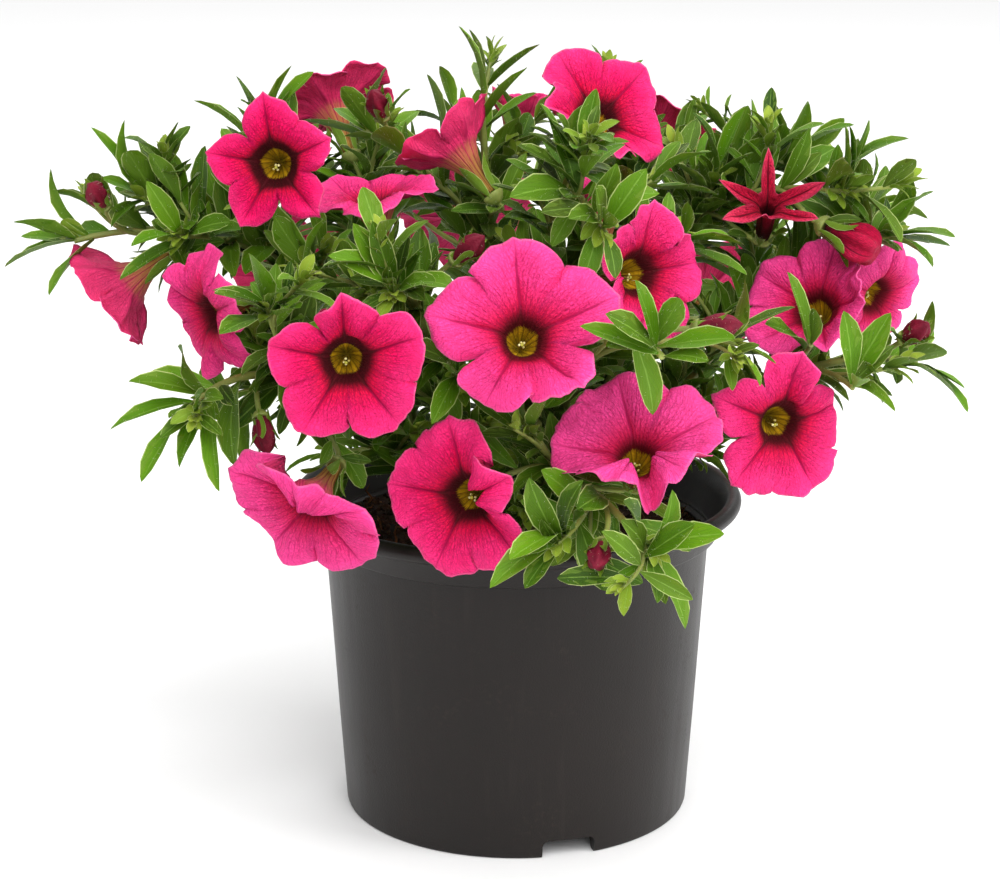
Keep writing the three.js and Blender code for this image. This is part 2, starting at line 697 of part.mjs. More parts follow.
function makeBud() {
  const { length, radius } = bud;
  const rings = [
    [radius * 0.8, 0.1 * length],
    [radius, 0.5 * length],
  ];
  return spindle(-1, rings, length, 5);
}

// Moves a solid from the flower's own frame: its +Z turns to `face` and its base goes to `place`.
function placed(solid, face, place) {
  const turn = new THREE.Quaternion().setFromUnitVectors(up, face);
  const matrix = new THREE.Matrix4().compose(place, turn, new THREE.Vector3(1, 1, 1));
  return solid.transform(matrix.elements);
}

function flowerPose(bloom) {
  const face = vec(bloom.face).normalize();
  return { face, base: vec(bloom.throat).addScaledVector(face, -flower.tubeLength) };
}

// ---------------------------------------------------------------- stems and leaves

// The main stem and the twigs of a spray, as curves. The stem starts upright in its hole in the soil.
function stemCurves(spray) {
  const root = vec([...spray.root, soil.top + stem.collar]);
  const main = new THREE.QuadraticBezierCurve3(root, vec(spray.knee), vec(spray.tip));
  const curves = [new Stepped(main, stem.steps)];
  for (const twig of spray.twigs) curves.push(sideCurve(curves[twig.from], twig.at, vec(twig.tip)));
  return curves;
}

function sideCurve(parent, at, tip) {
  const start = parent.getPoint(at);
  const reach = start.distanceTo(tip);
  const knee = start.clone().addScaledVector(parent.getTangent(at), reach * 0.4);
  return new Stepped(new THREE.QuadraticBezierCurve3(start, knee, tip), stem.twigSteps);
}

// A stalk leaves its twig along the twig and arrives at the calyx along the flower's own axis.
function stalkCurve(parent, at, base, face) {
  const start = parent.getPoint(at);
  const reach = start.distanceTo(base) * 0.4;
  const curve = new THREE.CubicBezierCurve3(
    start,
    start.clone().addScaledVector(parent.getTangent(at), reach),
    base.clone().addScaledVector(face, -reach),
    base.clone().addScaledVector(face, -1.5),
  );
  return new Stepped(curve, stem.twigSteps);
}

// The upper face of a leaf looks towards the end of its stem and to the sky.
function leafFace(tangent, chord) {
  const wanted = tangent.clone().add(up);
  return wanted.addScaledVector(chord, -wanted.dot(chord)).normalize();
}

// A leaf that leaves the stem at the angle `spread`, turned round it by `turn`, both in degrees.
function leafAt(curve, { at, turn, spread, length, width, bend }) {
  const tangent = curve.getTangent(at);
  const { side, lift } = across(tangent);
  const angle = radians(turn);
  const out = side.multiplyScalar(Math.cos(angle)).addScaledVector(lift, Math.sin(angle));
  const lean = radians(spread);
  const chord = tangent.clone().multiplyScalar(Math.cos(lean)).addScaledVector(out, Math.sin(lean));
  return { start: curve.getPoint(at), chord, face: leafFace(tangent, chord), length, width, bend };
}

// A leaf near the end of a stem whose own tip is at a known place, or `nudge` millimetres beside it.
function leafTo(curve, { at, tip, width, bend }, nudge) {
  const start = curve.getPoint(at);
  const chord = vec(tip).sub(start);
  chord.addScaledVector(across(chord.clone().normalize()).side, nudge);
  const length = chord.length();
  chord.normalize();
  return { start, chord, face: leafFace(curve.getTangent(at), chord), length, width, bend };
}

// The share of a blade's full width at a share of its length: widest just past the middle.
const taper = (share) => share ** 1.1 * (1 - share) ** 0.7;
const blade = (share) => taper(share) / taper(0.61);

// The blade arches away from its upper face, has a keel under its midrib and tapers to both ends. With
// `grow` it is that much fatter, and with `from` it starts that share of its length from the stem.
function makeLeaf({ start, chord, face, length, width, bend }, grow = 0, from = -0.02) {
  const arch = radians(bend);
  const side = chord.clone().cross(face);
  const middleAt = (share) => {
    const rise = (length / arch) * (Math.cos(arch * (share - 0.5)) - Math.cos(arch / 2));
    return start.clone().addScaledVector(chord, length * share).addScaledVector(face, rise);
  };
  const points = [middleAt(from)];
  const triangles = [];
  const stations = length < leaf.longFrom ? [leaf.widest] : [leaf.widest, leaf.shoulder];
  for (const share of stations) {
    const middle = middleAt(share);
    const half = (width / 2) * blade(share) + grow;
    const edge = leaf.fold * half;
    points.push(
      middle.clone().addScaledVector(side, -half).addScaledVector(face, edge),
      middle.clone().addScaledVector(side, half).addScaledVector(face, edge),
      middle.clone().addScaledVector(face, -leaf.thickness / 2 - grow),
    );
  }
  const tip = points.push(middleAt(1 + grow / length)) - 1;
  for (let k = 0; k < 3; k++) {
    const next = (k + 1) % 3;
    triangles.push([0, 1 + next, 1 + k], [tip, tip - 3 + k, tip - 3 + next]);
    if (stations.length === 2) triangles.push([1 + k, 1 + next, 4 + next], [1 + k, 4 + next, 4 + k]);
  }
  return solidFrom(points, triangles);
}

// The leaves of one stem: the outer ones at its end, then single ones up its length and a close tuft.
function leavesOf(curve, tips, bareShare, draw) {
  const reach = curve.getLength();
  const outer = tips.map((tip, i) => {
    const at = 1 - (1 + 1.4 * i) / reach;
    return { at, tip, width: draw(5, 6.3), bend: draw(18, 40) };
  });
  const tuft = Math.min(0.3, leaf.tuft / reach);
  const room = 1 - tuft - bareShare;
  const singles = Math.max(1, Math.round((room * reach) / leaf.pitch));
  const close = tips.length ? 2 : 4;
  const places = [];
  for (let i = 0; i < singles; i++) {
    const at = bareShare + (room * (i + 0.5)) / singles;
    places.push({ at, spread: draw(50, 75), length: draw(15, 20) });
  }
  for (let i = 0; i < close; i++) {
    const share = i / (close - 1);
    const at = 1 - tuft * (1 - share);
    places.push({ at, spread: draw(55, 68) - 35 * share, length: draw(14, 18) - 5 * share });
  }
  const first = draw(0, 360);
  const ruled = places.map((place, i) => {
    const turn = first + golden * i + draw(-14, 14);
    return { ...place, turn, width: place.length * draw(0.31, 0.38), bend: draw(15, 45) };
  });
  return { outer, ruled };
}

// ---------------------------------------------------------------- building

// Everything that a new leaf has to stay clear of.
const built = [];

function remember(name, solid) {
  built.push({ name, solid, box: solid.boundingBox() });
}

function boxesMeet(a, b) {
  return [0, 1, 2].every((i) => a.min[i] <= b.max[i] && b.min[i] <= a.max[i]);
}

// Whether a new leaf is clear of all other pieces, and of its own spray once it has left its stem. With
// `mayCross` it can touch its own spray anywhere and joins it there.
function isClear(shape, spray, mayCross) {
  const whole = makeLeaf(shape, leaf.clearance);
  const outer = makeLeaf(shape, leaf.clearance, leaf.rootShare);
  const box = whole.boundingBox();
  return built.every(({ name, solid, box: other }) => {
    if (!boxesMeet(box, other) || (mayCross && name === spray)) return true;
    return (name === spray ? outer : whole).intersect(solid).isEmpty();
  });
}

function stemsOf(spray) {
  const curves = stemCurves(spray);
  const buried = vec([...spray.root, soil.top - stem.sinkDepth]);
  const [main, ...twigs] = curves;
  const solids = [
    tube([buried, ...main.middles], stem.rootRadius, stem.tipRadius, 4),
    ...twigs.map((twig) => tube(twig.middles, stem.twigRadius, stem.twigTipRadius, 3)),
  ];
  for (const bloom of [...flowers, starFlower, foldedFlower].filter((f) => f.spray === spray.name)) {
    const { face, base } = flowerPose(bloom);
    const curve = stalkCurve(curves[bloom.twig], bloom.at, base, face);
    solids.push(tube(curve.middles, stem.stalkRadius, stem.stalkRadius, 3));
    solids.push(placed(makeCalyx(), face, base));
  }
  for (const { from, at, tip } of spray.buds) {
    const curve = sideCurve(curves[from], at, vec(tip));
    const face = curve.getTangent(1);
    solids.push(tube(curve.middles, stem.stalkRadius, stem.stalkRadius, 3));
    solids.push(placed(makeBud(), face, vec(tip)));
  }
  return { curves, solid: solids.reduce((a, b) => a.add(b)) };
}

const materials = {
  plastic: new THREE.MeshStandardMaterial({ color: 0x2b2a29, roughness: 0.45, metalness: 0 }),
  soil: new THREE.MeshStandardMaterial({ color: 0x2a1a10, roughness: 0.95, metalness: 0 }),
  leaf: new THREE.MeshStandardMaterial({ color: 0x4f7a22, roughness: 0.6, metalness: 0 }),
  petal: new THREE.MeshStandardMaterial({ color: 0xe0246e, roughness: 0.6, metalness: 0 }),
  youngPetal: new THREE.MeshStandardMaterial({ color: 0xb01840, roughness: 0.6, metalness: 0 }),
  heart: new THREE.MeshStandardMaterial({ color: 0xa8901c, roughness: 0.6, metalness: 0 }),
};

const part = new THREE.Group();

function show(name, solid, material) {
  const mesh = new THREE.Mesh(geometryOf(solid), material);
  mesh.name = name;
  part.add(mesh);
}

function build(name, solid, material) {
  remember(name, solid);
  show(name, solid, material);
}

build("pot", makePot(), materials.plastic);
build("soil", makeSoil(), materials.soil);
for (const bloom of flowers) {
  const { face, base } = flowerPose(bloom);
  build(bloom.name, placed(makeCorolla(bloom), face, base), materials.petal);
  build(`${bloom.name}_heart`, placed(makeHeart(bloom), face, base), materials.heart);
}
for (const [bloom, make] of [
  [starFlower, makeCorolla],
  [foldedFlower, makeFoldedFlower],
]) {
  const { face, base } = flowerPose(bloom);
  build(bloom.name, placed(make(bloom), face, base), materials.youngPetal);
}

const stemsBySpray = new Map();
for (const spray of sprays) {
  const stems = stemsOf(spray);
  stemsBySpray.set(spray, stems);
  remember(spray.name, stems.solid);
}

// A leaf that would touch something is turned about its stem, or its tip is moved aside. If no try is free
// an outer leaf may cross its own spray, and any other leaf is left out.
const turnsToTry = [0, 45, -45, 90]; // degrees
const nudgesToTry = [0, 2.5, -2.5, 5, -5]; // millimetres
sprays.forEach((spray, index) => {
  const { curves, solid } = stemsBySpray.get(spray);
  const draw = dice(101 + 17 * index);
  const leaves = [];
  const grow = (shape, mayCross = false) => {
    if (!isClear(shape, spray.name, mayCross)) return false;
    const made = makeLeaf(shape);
    remember(spray.name, made);
    leaves.push(made);
    return true;
  };
  [spray, ...spray.twigs].forEach(({ leaves: tips }, i) => {
    const { outer, ruled } = leavesOf(curves[i], tips, leaf.bareShare[i === 0 ? "main" : "twig"], draw);
    for (const one of outer) {
      const isGrown = nudgesToTry.some((nudge) => grow(leafTo(curves[i], one, nudge)));
      if (!isGrown) grow(leafTo(curves[i], one, 0), true);
    }
    for (const one of ruled) {
      turnsToTry.some((extra) => grow(leafAt(curves[i], { ...one, turn: one.turn + extra })));
    }
  });
  show(spray.name, leaves.reduce((a, b) => a.add(b), solid), materials.leaf);
});

export default part;
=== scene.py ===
import math
import random

import bmesh
import bpy
from mathutils import Matrix, Vector, noise
from mathutils.kdtree import KDTree


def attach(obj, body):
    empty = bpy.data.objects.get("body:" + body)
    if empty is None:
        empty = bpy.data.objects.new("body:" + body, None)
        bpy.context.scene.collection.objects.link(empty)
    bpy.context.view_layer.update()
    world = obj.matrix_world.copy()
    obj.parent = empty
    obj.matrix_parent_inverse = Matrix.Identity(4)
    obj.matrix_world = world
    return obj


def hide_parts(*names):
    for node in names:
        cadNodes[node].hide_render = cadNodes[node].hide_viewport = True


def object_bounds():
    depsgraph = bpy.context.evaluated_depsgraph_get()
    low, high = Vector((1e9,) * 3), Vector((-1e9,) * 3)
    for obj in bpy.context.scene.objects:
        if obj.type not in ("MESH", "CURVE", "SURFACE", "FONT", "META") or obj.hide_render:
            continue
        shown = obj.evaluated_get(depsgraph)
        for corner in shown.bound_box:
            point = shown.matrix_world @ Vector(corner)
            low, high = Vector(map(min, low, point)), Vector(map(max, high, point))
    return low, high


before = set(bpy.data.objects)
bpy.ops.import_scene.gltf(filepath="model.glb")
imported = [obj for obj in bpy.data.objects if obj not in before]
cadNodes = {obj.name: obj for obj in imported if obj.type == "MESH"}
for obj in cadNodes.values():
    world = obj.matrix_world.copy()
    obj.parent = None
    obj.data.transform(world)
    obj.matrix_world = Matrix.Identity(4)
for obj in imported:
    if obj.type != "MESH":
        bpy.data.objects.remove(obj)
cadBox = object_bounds()
mm = 0.001  # the plan of the plant is in millimetres, and every mesh in metres
up = Vector((0, 0, 1))
print("frame loaded:", len(cadNodes), "nodes")

# Each spray rises from root on the soil, bends at knee and ends at tip. A twig is (the stem it leaves, where
# on that stem, its tip, the tips of its outer leaves), and a bud is (the stem, where on it, its place).
sprays = {
    "spray_left_high": {
        "root": (-15, 2), "knee": (-40, -4, 152), "tip": (-99, -15, 138),
        "leaves": [(-111, -24, 144), (-114, -20, 133), (-103, -18, 155), (-104, -22, 127)],
        "twigs": [
            (0, 0.62, (-83, -20, 149), [(-93, -24, 165), (-87, -24, 167), (-74, -22, 166), (-82, -32, 161)]),
            (0, 0.45, (-55, -30, 165), [(-60, -36, 178), (-53, -36, 180), (-47, -34, 178), (-69, -38, 173)]),
            (0, 0.55, (-74, -30, 142), [(-80, -34, 155), (-62, -34, 146), (-86, -38, 134)]),
            (0, 0.22, (-46, 10, 104), []),
        ],
        "buds": [(0, 0.86, (-91, -24, 148))],
    },
    "spray_left_low": {
        "root": (-14, -9), "knee": (-46, -36, 128), "tip": (-69, -55, 111),
        "leaves": [(-86, -62, 107), (-80, -60, 95), (-82, -60, 117), (-70, -64, 126), (-62, -74, 97)],
        "twigs": [
            (0, 0.5, (-70, -30, 104), []),
            (0, 0.42, (-52, -64, 134), [(-62, -74, 139), (-55, -72, 147), (-61, -76, 131)]),
            (0, 0.2, (-42, -14, 88), []),
        ],
        "buds": [(0, 0.7, (-55, -52, 107))],
    },
    "spray_front_left": {
        "root": (-8, -15), "knee": (-22, -38, 142), "tip": (-26, -62, 136),
        "leaves": [(-34, -66, 152), (-25, -68, 153), (-39, -70, 146), (-17, -72, 141)],
        "twigs": [
            (0, 0.5, (-47, -48, 139), [(-40, -54, 151), (-51, -54, 151), (-62, -50, 158)]),
            (0, 0.35, (-12, -60, 117), [(-4, -70, 115), (-18, -72, 111), (-14, -72, 122)]),
        ],
        "buds": [(0, 0.6, (-13, -54, 142))],
    },
    "spray_crown_top": {
        "root": (-5, 3), "knee": (-6, -4, 140), "tip": (-8, -13, 168),
        "leaves": [(-13, -16, 186), (-6, -22, 184), (-20, -14, 179), (2, -24, 178)],
        "twigs": [
            (0, 0.5, (-34, -4, 161), [(-29, -10, 176), (-39, -12, 172), (-48, -8, 164)]),
            (0, 0.62, (6, 4, 164), [(12, -12, 176), (17, 4, 176)]),
        ],
        "buds": [(1, 0.75, (-30, -14, 166))],
    },
    "spray_crown_right": {
        "root": (5, -4), "knee": (2, -22, 140), "tip": (12, -44, 160),
        "leaves": [(14, -49, 174), (9, -50, 174), (2, -50, 168), (20, -52, 168)],
        "twigs": [
            (0, 0.4, (30, -20, 153), [(42, -26, 160), (44, -24, 150)]),
            (0, 0.8, (18, -62, 149), [(26, -64, 163), (18, -68, 160), (10, -72, 154)]),
            (0, 0.35, (36, -32, 142), [(48, -44, 143), (49, -42, 136)]),
        ],
        "buds": [],
    },
    "spray_front_mid": {
        "root": (4, -16), "knee": (14, -40, 138), "tip": (29, -79, 127),
        "leaves": [(12, -86, 135), (17, -88, 138), (23, -84, 144), (43, -88, 133), (34, -86, 141)],
        "twigs": [
            (0, 0.5, (46, -54, 124), [(47, -60, 139), (56, -60, 132), (50, -68, 118)]),
        ],
        "buds": [(0, 0.75, (37, -70, 131))],
    },
    "spray_right_high": {
        "root": (12, 6), "knee": (34, 2, 152), "tip": (62, 0, 153),
        "leaves": [(57, -4, 168), (65, -6, 168), (76, -2, 162)],
        "twigs": [
            (0, 0.5, (45, -6, 151), [(39, -10, 166), (49, -10, 167), (34, -16, 156)]),
            (0, 0.55, (72, -26, 151), [(70, -34, 167), (77, -30, 168), (84, -33, 164), (76, -42, 158)]),
            (0, 0.6, (52, 20, 156), []),
        ],
        "buds": [],
    },
    "spray_right_mid": {
        "root": (15, -2), "knee": (54, -8, 132), "tip": (82, -20, 140),
        "leaves": [(96, -26, 141), (90, -34, 136), (86, -26, 154), (91, -25, 151)],
        "twigs": [
            (0, 0.6, (82, 8, 142), []),
            (0, 0.4, (58, 12, 128), []),
            (0, 0.2, (46, 14, 98), []),
        ],
        "buds": [],
    },
    "spray_right_low": {
        "root": (13, -11), "knee": (54, -26, 120), "tip": (88, -31, 114),
        "leaves": [(98, -40, 105), (90, -36, 129), (92, -44, 120), (80, -42, 124)],
        "twigs": [
            (0, 0.6, (72, -46, 112), [(69, -50, 130), (75, -50, 129)]),
            (0, 0.5, (63, -44, 121), [(57, -48, 138), (52, -54, 128)]),
            (0, 0.5, (68, -6, 106), []),
            (0, 0.22, (44, -16, 88), []),
        ],
        "buds": [(0, 0.8, (84, -38, 121))],
    },
    "spray_front_low": {
        "root": (-1, -22), "knee": (6, -50, 108), "tip": (27, -78, 85),
        "leaves": [(31, -86, 101), (42, -84, 91), (35, -74, 67), (21, -88, 99)],
        "twigs": [
            (0, 0.62, (8, -79, 87), [(2, -84, 103), (13, -86, 103), (-6, -86, 80), (-2, -92, 88)]),
            (0, 0.4, (2, -62, 108), [(6, -74, 118)]),
        ],
        "buds": [(0, 0.72, (17, -82, 88))],
    },
    "spray_back_left": {
        "root": (-12, 12), "knee": (-34, 32, 144), "tip": (-60, 44, 140),
        "leaves": [],
        "twigs": [
            (0, 0.5, (-32, 60, 142), []),
            (0, 0.6, (-76, 20, 128), []),
            (0, 0.4, (-42, 62, 106), []),
            (0, 0.45, (-30, 22, 160), []),
            (1, 0.4, (-10, 48, 152), []),
            (0, 0.2, (-42, 34, 90), []),
        ],
        "buds": [(0, 0.8, (-62, 52, 128))],
    },
    "spray_back_right": {
        "root": (6, 14), "knee": (24, 38, 144), "tip": (54, 52, 136),
        "leaves": [],
        "twigs": [
            (0, 0.45, (10, 64, 138), []),
            (0, 0.55, (28, 70, 110), []),
            (0, 0.6, (70, 32, 122), []),
            (0, 0.42, (16, 30, 160), []),
            (4, 0.4, (40, 26, 156), []),
            (0, 0.2, (30, 44, 92), []),
            (0, 0.25, (-6, 50, 96), []),
        ],
        "buds": [(0, 0.8, (58, 60, 124))],
    },
}

# Each flower: the spray, twig and share of its length where the stalk leaves, the middle of its throat, the
# way it faces, its width, the curl of each of its five lobes and its turn. A fold is (direction, how far it
# reaches, what it adds to the curl near the throat, and farther out), all in degrees. A trim is (direction,
# how far it reaches, by what share it shortens the limb). Sinuses say how far the limb reaches between two
# lobes, from 0 to 1, and laps how much one margin lies over the next there.
flowers = [
    ("spray_left_high", 2, 0.7, (-51, -55, 162), (-0.1, -0.98, 0.08), 26, (0, -4, -6, -12, 10), -16,
     {"shape": "pointed", "sinuses": (0.55, 0.8, 0.58, 0.66, 0.52)}),
    ("spray_left_low", 2, 0.4, (-35, -80, 126), (0.05, -0.99, 0.02), 32, (8, 22, 10, -8, -6), -12,
     {"folds": [(78, 30, 25, 10)], "sinuses": (0.84, 0.7, 0.45, 0.74, 0.7)}),
    ("spray_front_mid", 0, 0.6, (1, -78, 131), (0.1, -0.86, 0.5), 40, (-2, 4, -10, -14, 36), -8,
     {"folds": [(240, 40, 22, -30)], "trims": [(285, 85, 0.24)], "sinuses": (0.5, 0.74, 0.8, 0.54, 0.66)}),
    ("spray_front_low", 2, 0.4, (-11, -72, 95), (-0.32, -0.94, 0.06), 33, (-4, -8, -6, -10, 6), -24,
     {"folds": [(-14, 42, 84, -6), (32, 42, 84, -6)], "sinuses": (0.72, 0.66, 0.9, 0.86, 0.78),
      "laps": (0.6, -2.4, 0.4, -0.6, 0.8)}),
    ("spray_front_low", 0, 0.4, (25, -64, 102), (0.02, -0.74, 0.67), 38, (-6, -8, -10, 72, 62), -6,
     {"folds": [(282, 19, -36, -78), (243, 40, 60, -48), (318, 42, 68, -48)], "trims": [(282, 40, 0.4)],
      "sinuses": (0.74, 0.8, 0.88, 0.8, 0.96), "laps": (0.6, -0.8, 0.7, -0.6, 0.1)}),
    ("spray_right_low", 0, 0.4, (57, -47, 104), (0.34, -0.94, 0), 33, (-40, 12, -4, -8, -8), -6,
     {"folds": [(80, 34, 30, 0)], "sinuses": (0.8, 0.42, 0.62, 0.58, 0.84)}),
    ("spray_crown_right", 1, 0.5, (18, -15, 166), (0.3, -0.72, 0.62), 32, (0, -4, 46, 52, -6), 24,
     {"sinuses": (0.72, 0.8, 0.7, 0.6, 0.7)}),
    ("spray_front_mid", 0, 0.3, (26, -50, 138), (0.6, -0.75, 0.2), 30, (-4, 6, 20, 30, 6), 4,
     {"folds": [(76, 20, 15, 40)]}),
    ("spray_left_low", 0, 0.6, (-44, -62, 91), (-0.35, -0.86, -0.36), 37, (24, -4, -12, -10, 6), 26,
     {"folds": [(10, 48, 92, -30), (58, 48, 92, -30)], "sinuses": (0.92, 0.66, 0.82, 0.8, 0.74),
      "laps": (0.3, -2.2, 0.5, -0.8, 0.6)}),
    ("spray_left_low", 0, 0.5, (-67, -46, 128), (-0.85, -0.48, -0.2), 31, (-60, 0, -10, -44, -26), -4,
     {"sinuses": (0.7, 0.8, 0.8, 0.66, 0.6)}),
    ("spray_left_high", 0, 0.8, (-88, -15, 128), (-0.82, 0, -0.57), 30, (34, 24, 38, 22, 30), -8),
    ("spray_front_left", 1, 0.5, (-31, -38, 152), (-0.16, 0.02, 0.98), 28, (6, 20, -8, -16, 2), 24),
    ("spray_crown_top", 0, 0.6, (-14, -20, 160), (-0.62, 0.25, 0.74), 28, (38, 32, 40, 34, 42), -18),
    ("spray_crown_top", 0, 0.7, (0, 14, 163), (0.1, 0.1, 0.99), 16, (60, 56, 62, 58, 64), -20, {"mouth": 3}),
    ("spray_right_mid", 0, 0.6, (65, -29, 126), (-0.3, -0.74, 0.6), 31, (-4, -6, 10, 50, 44), 24),
    ("spray_right_mid", 0, 0.85, (82, -12, 124), (0.66, -0.7, -0.25), 28, (-25, -20, -28, -18, -22), 18),
    ("spray_crown_right", 0, 0.4, (19, -34, 150), (0.1, -0.1, 0.99), 17, (58, 62, 56, 60, 64), -28,
     {"mouth": 3}),
    ("spray_back_left", 4, 0.5, (-44, 38, 160), (-0.35, 0.55, 0.76), 32, (-6, 8, -10, 4, -4), 10),
    ("spray_back_left", 3, 0.5, (-56, 62, 114), (-0.45, 0.88, 0.1), 31, (-8, 6, 4, -12, 8), 30),
    ("spray_back_left", 1, 0.6, (-12, 72, 128), (-0.1, 0.9, 0.4), 36, (-8, -4, 8, -10, 6), 0),
    ("spray_back_right", 0, 0.6, (34, 60, 148), (0.3, 0.72, 0.62), 33, (4, -10, 6, -6, 8), 22),
    ("spray_back_right", 2, 0.4, (48, 74, 106), (0.3, 0.93, 0.15), 32, (-6, 8, -12, 6, 10), 44),
]

# Tints from 0, the deepest magenta, to 1, the palest pink, in the order of the flowers
flowerTints = [
    0, 0.1, 0.55, 0.15, 1, 0.25, 0.12, 0.3, 0.65, 0.5, 0.6,
    0.45, 0.4, 0.3, 0.7, 0.85, 0.6, 0.4, 0.5, 0.8, 0.3, 0.6,
]
starFlower = ("spray_right_high", 1, 0.5, (55, -24, 148), (0.02, -0.72, 0.69), 22, (20, 20, 20, 20, 20), -18,
              {"shape": "star", "mouth": 2})
foldedFlower = ("spray_right_high", 2, 0.6, (78, -33, 139), (0.8, -0.5, -0.33), 8, (), 0)

tubeLength = 13


def flowerNamed(name, row, paleness):
    spray, twig, at, throat, face, width, lobes, turn = row[:8]
    own = {"shape": "open", "mouth": 4.4, "folds": [], "trims": [], "sinuses": None, "laps": None,
           **(row[8] if len(row) > 8 else {})}
    axis = Vector(face).normalized()
    return {
        "name": name, "spray": spray, "twig": twig, "at": at, "axis": axis, "width": width, "lobes": lobes,
        "turn": turn, "tint": paleness, "base": (Vector(throat) - axis * tubeLength) * mm,
        "pose": up.rotation_difference(axis), **own,
    }


blooms = [flowerNamed(f"flower_{i + 1:02d}", row, flowerTints[i]) for i, row in enumerate(flowers)]
star = flowerNamed("flower_star", starFlower, 0)
folded = flowerNamed("flower_folded", foldedFlower, 0)


# How node trees are put together: a value is a number, a colour or what another node gives

class Value:
    # A number that a node gives. Reckoning with it adds the nodes that do so.

    def __init__(self, tree, socket):
        self.tree, self.socket = tree, socket

    def __add__(self, other):
        return maths(self.tree, "ADD", self, other)

    def __sub__(self, other):
        return maths(self.tree, "SUBTRACT", self, other)

    def __rsub__(self, other):
        return maths(self.tree, "SUBTRACT", other, self)

    def __mul__(self, other):
        return maths(self.tree, "MULTIPLY", self, other)

    def __truediv__(self, other):
        return maths(self.tree, "DIVIDE", self, other)

    def __rtruediv__(self, other):
        return maths(self.tree, "DIVIDE", other, self)

    def __pow__(self, other):
        return maths(self.tree, "POWER", self, other)

    def __abs__(self):
        return maths(self.tree, "ABSOLUTE", self)

    def atLeast(self, other):
        return maths(self.tree, "MAXIMUM", self, other)

    def fromMiddle(self):
        # How far the part behind the point is from a half
        return abs(maths(self.tree, "FRACT", self) - 0.5)

    def ramped(self, low, high, start=0.0, end=1.0):
        # Eased from start, at low, to end, at high
        inputs = {"Value": self, "From Min": low, "From Max": high, "To Min": start, "To Max": end}
        node = addNode(self.tree, "ShaderNodeMapRange", inputs, interpolation_type="SMOOTHSTEP")
        return Value(self.tree, node.outputs[0])

    def clamped(self):
        self.socket.node.use_clamp = True
        return self


def connect(tree, value, socket):
    if isinstance(value, Value):
        value = value.socket
    if isinstance(value, bpy.types.NodeSocket):
        tree.links.new(value, socket)
    else:
        socket.default_value = value


def addNode(tree, kind, inputs=None, **settings):
    node = tree.nodes.new(kind)
    for name, value in settings.items():
        setattr(node, name, value)
    for name, value in (inputs or {}).items():
        connect(tree, value, node.inputs[name])
    return node


def maths(tree, operation, *values):
    node = addNode(tree, "ShaderNodeMath", dict(enumerate(values)), operation=operation)
    return Value(tree, node.outputs[0])


def attribute(tree, name):
    return Value(tree, addNode(tree, "ShaderNodeAttribute", attribute_name=name).outputs["Fac"])


def ownMap(tree):
    # A piece's own map, and the two values that it is made of
    spot = addNode(tree, "ShaderNodeUVMap", uv_map="UVMap").outputs[0]
    parts = addNode(tree, "ShaderNodeSeparateXYZ", {0: spot}).outputs
    return spot, Value(tree, parts[0]), Value(tree, parts[1])


def noiseValue(tree, inputs, **settings):
    return Value(tree, addNode(tree, "ShaderNodeTexNoise", inputs, **settings).outputs["Fac"])


def colourOf(hexCode):
    parts = [int(hexCode[i:i + 2], 16) / 255 for i in (0, 2, 4)]
    linear = [p / 12.92 if p <= 0.04045 else ((p + 0.055) / 1.055) ** 2.4 for p in parts]
    return (*linear, 1)


def mixed(tree, share, first, second):
    # Each of the two colours is a node's output or a hex code
    node = addNode(tree, "ShaderNodeMix", data_type="RGBA")
    connect(tree, share, node.inputs["Factor"])
    for colour, place in ((first, 6), (second, 7)):
        connect(tree, colourOf(colour) if isinstance(colour, str) else colour, node.inputs[place])
    return node.outputs[2]


def layered(tree, colour, *layers):
    # Each layer is (how much of it shows, its colour)
    for share, own in layers:
        colour = mixed(tree, share, colour, own)
    return colour


def spaced(values):
    # Titles of sockets, given as names with _ for a space
    return {title.replace("_", " "): value for title, value in values.items()}


def newGroup(name, kind, inputs, outputs):
    # Inputs and outputs are {name: (socket type, default)} and {name: socket type}
    group = bpy.data.node_groups.new(name, kind)
    for title, (socketKind, default) in inputs.items():
        socket = group.interface.new_socket(title, in_out="INPUT", socket_type=socketKind)
        if default is not None:
            socket.default_value = default
    for title, socketKind in outputs.items():
        group.interface.new_socket(title, in_out="OUTPUT", socket_type=socketKind)
    given = {socket.name: Value(group, socket) for socket in group.nodes.new("NodeGroupInput").outputs}
    return group, given, group.nodes.new("NodeGroupOutput").inputs


def buildMottleGroup():
    # Uneven colour and a fine grain, as on anything grown or moulded
    inputs = {
        "Patch Size": ("NodeSocketFloat", 0.004),
        "Grain Size": ("NodeSocketFloat", 0.0006),
        "Stretch": ("NodeSocketVector", (1, 1, 1)),
    }
    outputs = {"Patches": "NodeSocketFloat", "Grain": "NodeSocketFloat"}
    group, given, result = newGroup("mottle", "ShaderNodeTree", inputs, outputs)
    place = addNode(group, "ShaderNodeTexCoord").outputs["Object"]
    stretched = addNode(group, "ShaderNodeVectorMath", {0: place, 1: given["Stretch"]}, operation="MULTIPLY")
    for title, size, detail in (("Patches", "Patch Size", 3), ("Grain", "Grain Size", 2)):
        inputs = {"Vector": stretched.outputs[0], "Scale": 1 / given[size], "Detail": detail}
        connect(group, noiseValue(group, inputs), result[title])
    return group


def nearLines(place, count, scale, thin, thick):
    # 1 on lines that are count to a unit of place, where scale is how many millimetres such a unit is
    away = (place * count + 0.5).fromMiddle() / count * scale
    return 1 - away.ramped(thin, thick)


limbFrom = 0.25  # where the limb starts on a flower's map, which runs up from the foot of the tube


